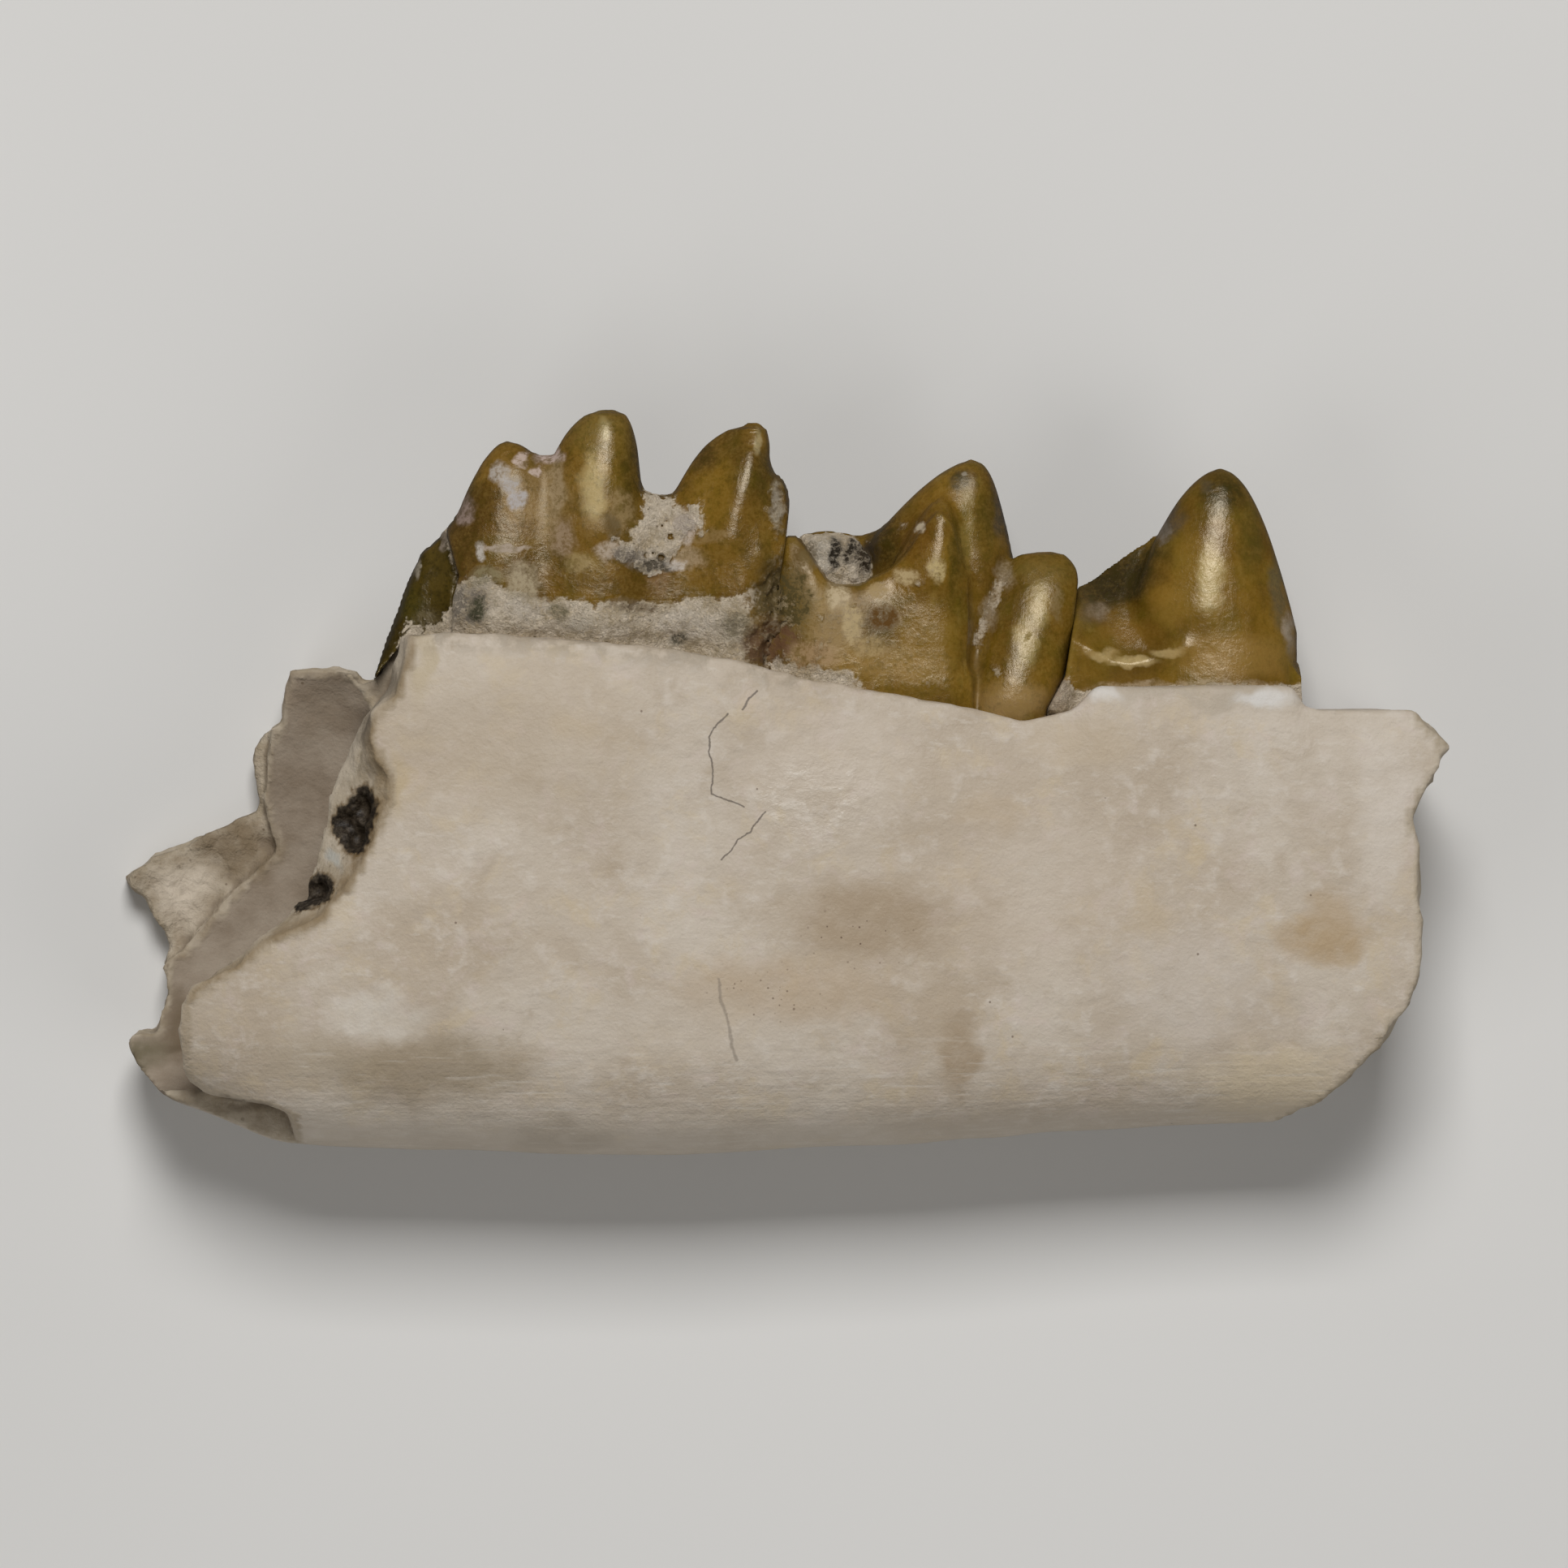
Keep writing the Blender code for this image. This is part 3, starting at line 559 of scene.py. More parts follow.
# Stains on the bone: (middle, half sizes, colour, strength).
STAINS = [
    ((-6.0, 1.0, 5.0), (4.5, 2.6, 3.0), (0.43, 0.35, 0.255), 0.55),
    ((0.9, 0.6, 5.4), (2.6, 1.3, 3.0), (0.53, 0.455, 0.37), 0.6),
    ((5.5, -2.2, 5.4), (3.5, 2.6, 3.0), (0.47, 0.385, 0.295), 0.4),
    ((13.0, -0.6, 5.0), (1.0, 2.6, 3.0), (0.56, 0.5, 0.43), 0.7),
    ((8.9, -4.4, 5.2), (2.6, 1.7, 3.0), (0.5, 0.44, 0.375), 0.55),
    ((11.75, -3.35, 5.0), (1.25, 0.85, 3.0), (0.385, 0.28, 0.165), 0.95),
    ((12.0, -2.7, 5.0), (0.55, 0.7, 3.0), (0.4, 0.3, 0.19), 0.8),
    ((10.6, -6.6, 4.0), (2.2, 1.2, 4.0), (0.56, 0.465, 0.325), 0.8),
    ((1.9, -3.0, 5.3), (2.5, 1.35, 3.0), (0.335, 0.255, 0.17), 0.9),
    ((0.0, -4.5, 5.3), (3.2, 1.0, 3.0), (0.41, 0.31, 0.205), 0.7),
    ((3.85, -5.9, 5.0), (0.65, 1.3, 3.0), (0.33, 0.25, 0.165), 0.9),
    ((3.4, -4.9, 5.0), (0.7, 1.4, 3.0), (0.4, 0.32, 0.23), 0.6),
    ((-7.6, -6.1, 5.0), (3.2, 1.1, 3.0), (0.295, 0.235, 0.16), 0.85),
    ((-10.2, -5.9, 5.0), (1.6, 0.9, 3.0), (0.34, 0.28, 0.2), 0.5),
    ((-4.7, -7.6, 4.0), (1.5, 0.6, 3.0), (0.26, 0.205, 0.14), 0.8),
    ((-8.7, -5.0, 5.5), (1.6, 0.65, 3.0), (0.58, 0.53, 0.46), 0.75),
    ((-2.2, -5.2, 5.4), (3.4, 1.0, 3.0), (0.53, 0.46, 0.375), 0.5),
    ((4.4, -0.6, 5.4), (1.1, 0.5, 3.0), (0.44, 0.345, 0.235), 0.5),
    ((6.5, 0.9, 5.0), (1.6, 0.8, 3.0), (0.44, 0.35, 0.24), 0.6),
    ((9.0, 2.0, 4.4), (3.4, 0.5, 3.0), (0.38, 0.32, 0.245), 0.9),
    ((7.0, 1.9, 4.4), (0.55, 0.3, 2.0), (0.6, 0.57, 0.53), 0.8),
    ((10.45, 1.93, 4.4), (0.8, 0.3, 2.0), (0.6, 0.58, 0.55), 0.8),
    ((-8.85, 0.3, 5.2), (0.3, 0.6, 1.0), (0.24, 0.17, 0.09), 0.7),
    ((-8.3, -0.1, 5.4), (0.4, 0.9, 1.2), (0.43, 0.335, 0.2), 0.8),
    ((-7.85, 2.6, 5.2), (0.35, 1.2, 1.2), (0.43, 0.35, 0.23), 0.8),
]
# Dirt on the broken edges and in the canal, with painted shade under the splinter and in the
# trough at the hind end, in the same form.
BREAK_DIRT_AND_SHADE = [
    # Partly dirt, partly painted shade on the broken edge of the tongue-side wall.
    ((-8.95, 1.3, 4.6), (0.55, 1.0, 1.2), (0.15, 0.115, 0.075), 0.9),
    # Painted shade on the bone under the splinter.
    ((-8.7, 2.2, 4.0), (0.9, 0.5, 2.0), (0.165, 0.13, 0.09), 0.8),
    ((-9.1, -1.6, 5.0), (0.28, 0.5, 1.0), (0.15, 0.1, 0.05), 0.9),
    ((-9.5, -2.25, 5.0), (0.3, 0.35, 1.0), (0.16, 0.11, 0.06), 0.9),
    ((-9.75, -1.68, 4.8), (0.26, 0.34, 1.0), (0.4, 0.385, 0.34), 0.95),
    ((-9.0, -0.6, 5.0), (0.5, 0.6, 1.0), (0.16, 0.115, 0.05), 0.7),
    ((-11.9, -1.5, 1.0), (1.3, 1.1, 1.5), (0.18, 0.13, 0.075), 0.85),
    ((-13.2, -2.4, 1.0), (0.9, 1.0, 1.5), (0.56, 0.48, 0.38), 0.95),
    # Painted shade in the trough between the lower rim and the broken wall, and in the gap below
    # it.
    ((-13.3, -5.2, 2.5), (0.6, 1.3, 3.0), (0.125, 0.088, 0.05), 0.8),
    ((-14.0, -6.0, 2.5), (0.8, 0.7, 3.0), (0.14, 0.115, 0.068), 0.95),
    ((-13.3, -5.75, 3.5), (0.5, 0.3, 3.0), (0.1, 0.07, 0.04), 0.7),
    ((-11.8, -7.1, 4.2), (1.3, 0.25, 1.5), (0.11, 0.08, 0.05), 0.75),
    ((-11.0, 2.0, 2.0), (1.1, 0.6, 2.0), (0.3, 0.23, 0.165), 0.6),
    ((-10.0, 1.6, 2.0), (0.8, 0.9, 2.0), (0.2, 0.15, 0.1), 0.6),
]
# Polished places, and where the bone is pitted: (middle, half sizes, strength).
SHINE = [((0.7, -0.3, 5.4), (1.8, 1.4, 2.0), 1.0), ((-1.8, -6.4, 5.0), (3.0, 1.0, 2.5), 0.5)]
PITTED = [((1.7, -3.3, 5.3), (1.7, 1.1, 3.0), 1.0), ((-0.3, -4.6, 5.3), (1.8, 0.8, 3.0), 0.8)]
# Three hairlines and a fainter crack: (route, wide, thin, colour, strength).
HAIRLINE = (0.03, 0.008, (0.10, 0.08, 0.062), 0.8)
CRACKS = [
    ([(-0.54, 2.03), (-0.70, 1.83), (-0.86, 1.63)], *HAIRLINE),
    ([(-1.18, 1.52), (-1.45, 1.22), (-1.58, 1.01), (-1.55, 0.6), (-1.48, 0.34), (-1.51, -0.21),
      (-1.2, -0.32), (-0.82, -0.5)], *HAIRLINE),
    ([(-0.35, -0.58), (-0.66, -1.01), (-0.95, -1.22), (-1.11, -1.42), (-1.3, -1.62)], *HAIRLINE),
    ([(-1.37, -4.23), (-1.3, -4.7), (-1.14, -5.26), (-1.1, -5.6), (-0.98, -5.96)],
     0.05, 0.01, (0.20, 0.165, 0.13), 0.55),
]


def patches(place, rows):
    """The stronger of two patches."""
    first, second = (patch(place, *row) for row in rows)
    return first.most(second)


def stained(colour, place, stains, amount):
    """The colour with stains of (middle, half sizes, colour, strength) painted on it."""
    return colour.paint(*((tint, patch(place, middle, reach, strength) * amount)
                          for middle, reach, tint, strength in stains))


def fossil_bone_finish():
    """Matt cream bone with stains, hairline cracks, pits and two polished places."""
    material, shader, place = start_finish("fossil_bone")
    px, py, pz = apart(place)
    inner = mask_of(place, "inner")
    flaked = mask_of(place, "flaked")
    broken = mask_of(place, "broken")
    pore = mask_of(place, "pore")
    edge = inner.most(broken).most(flaked)
    cloud = mottle(place, 2.2, 6.0, 0.6)
    fibre = mottle(place, 5.0, 5.0, 0.7, stretch=(0.35, 1.0, 1.0))
    flakes = mottle(place, 3.6, 4.0, 0.7, stretch=(0.6, 1.0, 1.0))
    streaks = mottle(place, 7.0, 4.0, stretch=(0.1, 1.0, 1.0))
    grit = cloud.ramp(0.25, 0.6) * 0.4 + 0.6
    grime = mottle(place, 7.0, 5.0, 0.75).ramp(0.35, 0.65)
    uneven = warped(place, 0.9, 1.3)
    shiny = patches(uneven, SHINE)
    low = py.ramp(-4.6, -6.6)

    # Tones and stains of the outside, and painted light that lightens its lower part.
    colour = clouded(place, 0.32, (0.42, 0.345, 0.26), (0.51, 0.445, 0.365))
    colour = colour.paint(
        ((0.57, 0.51, 0.44), cloud.ramp(0.5, 0.72, 0.6)),
        ((0.36, 0.285, 0.20), mottle(uneven, 0.8, 6.0, 0.65).ramp(0.5, 0.74, 0.55)),
        ((0.47, 0.37, 0.235), mottle(uneven, 0.55, 4.0).ramp(0.42, 0.26, 0.5)),
        ((0.51, 0.41, 0.265), mottle(uneven, 0.95, 5.0, 0.65).ramp(0.52, 0.7, 0.45)),
        ((0.53, 0.44, 0.385), mottle(uneven, 1.3, 5.0, 0.65).ramp(0.53, 0.72, 0.45)),
        ((0.34, 0.285, 0.225), fibre.ramp(0.54, 0.7, 0.3)),
        ((0.60, 0.545, 0.475), fibre.ramp(0.45, 0.3, 0.35)))
    colour = stained(colour, uneven, STAINS, grit)
    colour = colour.paint(
        # Pale flakes in the polished places: partly paler flakes of bone, partly painted glints.
        ((0.62, 0.56, 0.48), flakes.ramp(0.5, 0.66, 0.45) * shiny),
        ((0.34, 0.28, 0.22), streaks.ramp(0.56, 0.7, 0.3) * low),
        # Pale fibre streaks on the lower part: partly the bone's grain, partly painted light that
        # brightens it.
        ((0.60, 0.55, 0.48), streaks.ramp(0.44, 0.32, 0.35) * low),
        # Painted light: the lowest band along the lower border is painted lighter.
        ((0.62, 0.55, 0.46), py.ramp(-6.6, -7.7, 0.5)))

    # Pits, cracks and the dirty brim of the sockets.
    pits = (dots(place, 7.0, 0.4, 0.2) + dots(place, 3.2, 0.3, 0.16)) * patches(uneven, PITTED)
    pits = pits + dots(place, 2.0, 0.14, 0.07) * 0.8
    colour = colour.paint(((0.10, 0.06, 0.035), pits.least(1.0) * 0.85))
    wx, wy, _ = apart(warped(place, 4.0, 0.14))
    facing = pz.ramp(3.6, 4.2)
    for route, wide, thin, tint, strength in CRACKS:
        colour = colour.paint((tint, crack(wx, wy, route, wide, thin) * facing * strength))
    brim = mask_of(place, "brim") * px.ramp(1.5, 0.0) * cloud.ramp(0.42, 0.6)
    colour = colour.paint(((0.22, 0.175, 0.115), brim * 0.5))

    # The canal's lining, the flaked layer, the torn edges, and painted shade in hollows and pores.
    # The canal's lining is a darker grey: partly its own colour, partly painted shade of the deep
    # canal.
    lining = clouded(place, 0.9, (0.20, 0.152, 0.105), (0.30, 0.245, 0.185), 6.0)
    lining = lining.paint(((0.26, 0.205, 0.15), fibre.ramp(0.45, 0.65, 0.5)),
                          ((0.12, 0.085, 0.05), dots(place, 2.2, 0.22, 0.1)))
    layer = clouded(place, 2.5, (0.27, 0.21, 0.14), (0.40, 0.335, 0.25), 5.0)
    layer = layer.paint(((0.09, 0.06, 0.03), dots(place, 5.0, 0.35, 0.2) * 0.7))
    torn = clouded(place, 2.0, (0.30, 0.24, 0.16), (0.43, 0.365, 0.275), 5.0)
    torn = torn.paint(((0.14, 0.10, 0.06), dots(place, 3.5, 0.45, 0.2) * 0.6),
                      ((0.50, 0.43, 0.34), grit.ramp(0.9, 0.7, 0.35)))
    colour = colour.paint(
        (lining, inner), (layer, flaked), (torn, broken * 0.85),
        # The break's outer rim is darker, partly dirt and partly painted shade where the edge
        # turns away; its inner crest is paler, partly paler bone and partly a painted highlight.
        ((0.235, 0.17, 0.095), mask_of(place, "rim") * grit * (broken * 0.75 + 0.2)),
        ((0.47, 0.40, 0.31), mask_of(place, "crest") * broken * 0.8))
    colour = stained(colour, uneven, BREAK_DIRT_AND_SHADE, edge * grit)
    colour = colour.paint(
        # Painted shade: hollows of the surface are painted darker.
        ((0.16, 0.12, 0.08), mask_of(place, "relief").ramp(-0.02, -0.06, 0.6)),
        # Brown around the pores, partly dirt, and near black inside them, painted shade in the
        # holes.
        ((0.13, 0.08, 0.03), pore.ramp(0.0, 0.45) * (grime * 0.5 + 0.4)),
        ((0.008, 0.004, 0.001), pore.ramp(0.35, 0.85) * (grime * 0.2 + 0.8)))

    dull = cloud * 0.3 + 0.42 - shiny * 0.1 + edge * 0.2
    height = cloud + mottle(place, 14.0, 3.0) * 0.3 + streaks * low * 0.35
    height = height + flakes * patches(place, SHINE) * 0.8
    height = height + mottle(place, 6.0, 4.0) * (broken + flaked * 1.5 - inner * 0.5)
    connect(shader, {"Base Color": colour,
                     "Roughness": dull - flakes.ramp(0.5, 0.6, 0.12) * shiny,
                     "Normal": bump(height, 0.045),
                     "Specular IOR Level": 0.35})
    return material


jaw.data.materials.append(fossil_bone_finish())

# The three-cusped molar: one tooth of brown, glossy enamel. It sits in the bone on its roots,
# and hard white sediment still fills the gap between its middle and front cusps.
TOOTH_GRAIN = 0.05
MOLAR_LOW = (-7.45, 2.1, 0.6)
MOLAR_HIGH = (0.5, 8.25, 5.35)
MOLAR_BASE = 3.0
# Crests along the tooth on either side: (x, y of the top, z).
TONGUE_CREST = [
    (-7.7, 4.7, 3.3), (-7.3, 5.55, 3.4), (-7.0, 5.95, 3.5), (-6.6, 6.5, 3.6), (-6.2, 7.05, 3.7),
    (-5.7, 7.25, 3.7), (-5.3, 7.14, 3.6), (-4.9, 7.12, 3.55), (-4.5, 7.35, 3.65),
    (-3.9, 7.5, 3.75), (-3.35, 7.1, 3.7), (-3.1, 6.4, 3.65), (-2.75, 6.26, 3.6), (-2.4, 6.26, 3.6),
    (-2.1, 6.5, 3.6), (-1.7, 6.95, 3.6), (-1.1, 7.3, 3.7), (-0.5, 7.3, 3.7), (-0.2, 6.75, 3.6),
    (0.08, 6.55, 3.5), (0.3, 5.6, 3.4),
]
CHEEK_CREST = [
    (-7.6, 4.8, 2.6), (-7.1, 5.6, 2.1), (-6.4, 6.5, 1.95), (-5.7, 6.6, 1.95), (-5.1, 6.0, 2.3),
    (-4.6, 5.9, 2.6), (-4.2, 6.6, 2.1), (-3.6, 7.0, 1.9), (-2.9, 6.2, 2.2), (-2.4, 5.8, 2.6),
    (-1.9, 6.6, 2.2), (-1.2, 7.1, 2.1), (-0.5, 6.5, 2.3), (0.1, 5.9, 2.7),
]
# Each cusp: tip, then its left, right, tongue and cheek flanks as (reach, power, widest).
MOLAR_CUSPS = [
    ((-5.99, 7.45, 3.75), ((2.0, 0.6, 2.0), (2.1, 0.5, 1.9), (1.27, 0.35, 1.25), (1.3, 0.6, 1.2))),
    ((-3.87, 8.07, 3.8),
     ((2.2, 0.42, 1.9), (1.05, 0.22, 1.05), (1.27, 0.28, 1.25), (1.3, 0.6, 1.2))),
    ((-0.56, 7.75, 3.75),
     ((2.7, 0.36, 1.9), (0.62, 0.4, 0.62), (1.3, 0.45, 1.3), (1.3, 0.6, 1.2))),
    ((-5.75, 6.9, 2.15), ((1.5, 0.45, 1.2), (1.6, 0.45, 1.3), (0.9, 0.6, 0.9), (1.35, 0.5, 1.2))),
    ((-3.6, 7.4, 2.1), ((1.4, 0.42, 1.1), (1.1, 0.42, 0.85), (0.9, 0.6, 0.9), (1.35, 0.5, 1.2))),
    ((-1.1, 7.45, 2.3), ((1.5, 0.42, 1.2), (0.85, 0.4, 0.8), (0.9, 0.6, 0.9), (1.5, 0.5, 1.35))),
]
SIDE_BUMP = ((-0.1, 6.74, 3.3),
             ((0.5, 0.45, 0.5), (0.42, 0.42, 0.26), (0.75, 0.4, 0.75), (0.6, 0.4, 0.6)))
# Ribs and dents of the tongue face: (route of (x, y), half width, height).
MOLAR_RIBS = [
    ([(-3.79, 7.75), (-3.86, 7.0), (-4.05, 6.3), (-4.15, 5.6)], 0.5, 0.07),
    ([(-0.6, 7.6), (-0.72, 6.9), (-0.95, 6.1), (-1.15, 5.4)], 0.42, 0.16),
    ([(-0.38, 7.1), (-0.42, 6.4), (-0.5, 5.8)], 0.2, -0.06),
]
ENAMEL_MARGIN = [
    (-7.5, 4.5), (-7.14, 4.3), (-6.8, 4.45), (-6.43, 4.6), (-6.05, 4.25), (-5.5, 4.15),
    (-5.02, 4.0), (-4.31, 3.92), (-2.89, 3.92), (-2.19, 3.96), (-1.83, 4.04), (-1.12, 4.1),
    (-0.5, 4.35), (-0.15, 4.7), (0.04, 5.06), (0.5, 5.4),
]
# The sediment: its thick core, its outlines, and holes as (x, y, radius).
PLUG_CORE = ((-2.68, 5.0, 3.5), (0.85, 1.25, 1.12))
PLUG_OUTLINE = [
    (-2.98, 6.27), (-2.45, 6.27), (-2.19, 6.12), (-1.87, 6.09), (-1.69, 5.77), (-1.8, 5.5),
    (-2.01, 5.33), (-2.19, 5.06), (-2.33, 4.71), (-2.54, 4.5), (-2.89, 4.62), (-3.21, 4.74),
    (-3.51, 4.8), (-3.69, 5.06), (-3.64, 5.33), (-3.34, 5.5), (-3.16, 5.77), (-2.98, 6.04),
]
SIDE_OUTLINE = [(-0.33, 6.92), (-0.06, 6.66), (0.12, 6.3), (0.15, 5.77), (-0.03, 5.33),
                (-0.24, 5.33), (-0.38, 5.77), (-0.24, 6.3), (-0.35, 6.66)]
PLUG_HOLES = [
    (-2.59, 5.91, 0.06), (-2.49, 5.72, 0.07), (-2.6, 5.6, 0.05), (-2.42, 5.36, 0.08),
    (-3.37, 5.33, 0.1), (-3.6, 5.2, 0.08), (-2.95, 4.95, 0.07), (-2.62, 4.9, 0.09),
    (-2.8, 5.0, 0.05), (-3.0, 6.0, 0.05), (-2.9, 5.95, 0.05),
]
# Where the tooth meets the broken molar, the premolar, and where it ends in front.
FRAGMENT_LINE = [(-7.2, 0.0), (-7.14, 4.0), (-7.0, 4.5), (-7.3, 5.5), (-7.2, 9.5)]
PREMOLAR_LINE = [(-0.62, 0.0), (-0.6, 4.1), (-0.3, 4.6), (0.1, 5.45), (0.2, 6.4), (0.35, 9.5)]
MOLAR_END = [(0.2, 0.0), (0.2, 3.6), (-0.05, 4.4), (0.05, 5.1), (0.1, 5.45), (0.2, 6.4),
             (0.35, 9.5)]


def cusp(x, y, z, tip, base, sides, lean=(0.0, 0.0)):
    """One rounded cusp with its four flanks; lean shifts its base sideways."""
    square = 2.3
    rest = np.maximum((tip[1] - y) / (tip[1] - base), 0.0005)
    left, right, tongue, cheek = (
        np.minimum(widest, reach * rest ** power) for reach, power, widest in sides)
    dx = x - tip[0] - lean[0] * rest
    dz = z - tip[2] - lean[1] * rest
    across = np.abs(dx) / np.where(dx > 0.0, right, left)
    deep = np.abs(dz) / np.where(dz > 0.0, tongue, cheek)
    far = np.maximum((across ** square + deep ** square) ** (1.0 / square), 1e-4)
    side = np.hypot(dx, dz) * (1.0 - 1.0 / far)
    return np.where(y > tip[1], np.hypot(np.maximum(side, 0.0), y - tip[1]), side)


def ridge(x, y, z, stations, base, tongue, cheek, power=0.45):
    """Crest along the jaw, this far from its middle on either side at its base."""
    line = x[:, 0, 0]
    top = eased(line, [row[:2] for row in stations], 0.12)[:, None, None]
    middle = eased(line, [row[::2] for row in stations], 0.2)[:, None, None]
    rest = np.clip((top - y) / np.maximum(top - base, 0.3), 0.0, 1.0) ** power
    side = np.maximum(z - middle - rest * tongue, middle - z - rest * cheek)
    crest = np.where(y > top, np.hypot(np.maximum(side, 0.0), y - top), side)
    return np.maximum(crest, np.maximum(stations[0][0] - x, x - stations[-1][0]))


def evened(values):
    """The field made nearly a true distance close to its surface."""
    slopes = np.gradient(values, TOOTH_GRAIN)
    steep = np.sqrt(sum(slope * slope for slope in slopes))
    return values / np.clip(steep, 0.5, 4.0)


def route_distance(x, y, route):
    """Distance from points to a broken line."""
    nearest = 1e9
    for (ax, ay), (bx, by) in zip(route, route[1:]):
        ex, ey = bx - ax, by - ay
        share = np.clip(((x - ax) * ex + (y - ay) * ey) / (ex * ex + ey * ey), 0.0, 1.0)
        nearest = np.minimum(nearest, np.hypot(x - ax - ex * share, y - ay - ey * share))
    return nearest


def ribbed(values, x, y, z, ribs, middle):
    """The field with ribs raised and dents pressed in on the side above a level."""
    for route, wide, height in ribs:
        shape = np.exp(-(route_distance(x, y, route) / wide) ** 2)
        values = values - height * shape * ramp(z, middle, middle + 0.5)
    return values


def across(y, line):
    """Where a line of (x, y) points is at a height y."""
    return np.interp(y, [p[1] for p in line], [p[0] for p in line])


def trimmed(values, x, y, line, keep):
    """The field cut where a tooth meets its neighbour; keep is 1 for the front side."""
    return carve(values, keep * (x - across(y, line)), 0.08)


def tooth_piece(name, values, low, crust):
    """A tooth's surface, with its sediment, fine hollows and broad swells as masks."""
    points, faces = skin(values, low, TOOTH_GRAIN)
    return piece(name, points, faces, {
        "crust": read(crust, low, TOOTH_GRAIN, points),
        "relief": relief(points, faces, 5),
        "swell": relief(points, faces, 40),
    })


# Crests and cusps, and below the enamel's margin a crumbly face set back a little.
x, y, z = block(MOLAR_LOW, MOLAR_HIGH, TOOTH_GRAIN)
tooth = merge(ridge(x, y, z, TONGUE_CREST, MOLAR_BASE, tongue=1.22, cheek=1.2, power=0.25),
              ridge(x, y, z, CHEEK_CREST, MOLAR_BASE, tongue=1.2, cheek=0.9), soft=0.2)
for tip, sides in MOLAR_CUSPS:
    tooth = merge(tooth, cusp(x, y, z, tip, MOLAR_BASE, sides), soft=0.26)
tooth = ribbed(evened(tooth), x, y, z, MOLAR_RIBS, middle=3.3)
tooth = tooth + 0.02 * grain(x, y, z, 0.9, 41) + 0.008 * grain(x, y, z, 0.3, 42)
margin = along(x, ENAMEL_MARGIN) + 0.13 * rough(x, y, z, 0.35, 43)
crumbs = rough(x, y, z, 0.22, 44)
below = ramp(margin - y, -0.08, 0.16)
tooth = tooth + below * (0.05 + 0.045 * crumbs) + 0.3 * ramp(y, 3.7, 2.9) * ramp(z, 3.4, 4.2)
side_bump = cusp(x, y, z, SIDE_BUMP[0], MOLAR_BASE, SIDE_BUMP[1])
tooth = merge(tooth, side_bump + 0.03 * crumbs, 0.1)
# The sediment: a film on the enamel that thickens inwards, the core, and its holes.
level = np.full((1, 1, 1), 4.0)
spread = np.minimum(outline_distance(x, y, PLUG_OUTLINE), outline_distance(x, y, SIDE_OUTLINE))
spread = spread + (0.1 * rough(x, y, level, 0.3, 45) + 0.1 * rough(x, y, level, 0.12, 46))
film = np.maximum(tooth - 0.09 * ramp(spread, 0.02, -0.3), spread * 0.8)
plug = merge(np.maximum(film, 3.3 - z), ellipsoid(x, y, z, *PLUG_CORE), 0.1) + 0.045 * crumbs
for hole_x, hole_y, size in PLUG_HOLES:
    hole = np.hypot(x - hole_x, y - hole_y) + 0.25 * np.maximum(4.55 - z, 0.0) - size
    plug = carve(plug, hole, 0.03)
# Where the mesh carries sediment, and the cuts beside the neighbours.
seam = ramp(np.abs(x - across(y, PREMOLAR_LINE)) + 0.06 * crumbs, 0.11, 0.05)
seam = 0.2 * seam * ramp(y, 5.4, 5.1) * ramp(z, 3.6, 4.0)
sediment = ramp(tooth - plug, -0.02, 0.05) * (1.0 - 0.75 * ramp(x, -1.2, -0.6))
crust = np.maximum(below * (1.0 - 0.72 * ramp(x, -1.1, -0.5)), seam)
crust = np.maximum(crust, sediment)
tooth = trimmed(merge(tooth, plug, 0.04), x, y, FRAGMENT_LINE, 1.0)
tooth = tooth + 0.3 * ramp(x, -0.9, 0.1) * ramp(y, 5.0, 4.4) * (1.0 + 0.5 * crumbs)
tooth = trimmed(tooth, x, y, MOLAR_END, -1.0)
molar = tooth_piece("three_cusped_molar_enamel", tooth, MOLAR_LOW, crust)
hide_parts("three_cusped_molar")
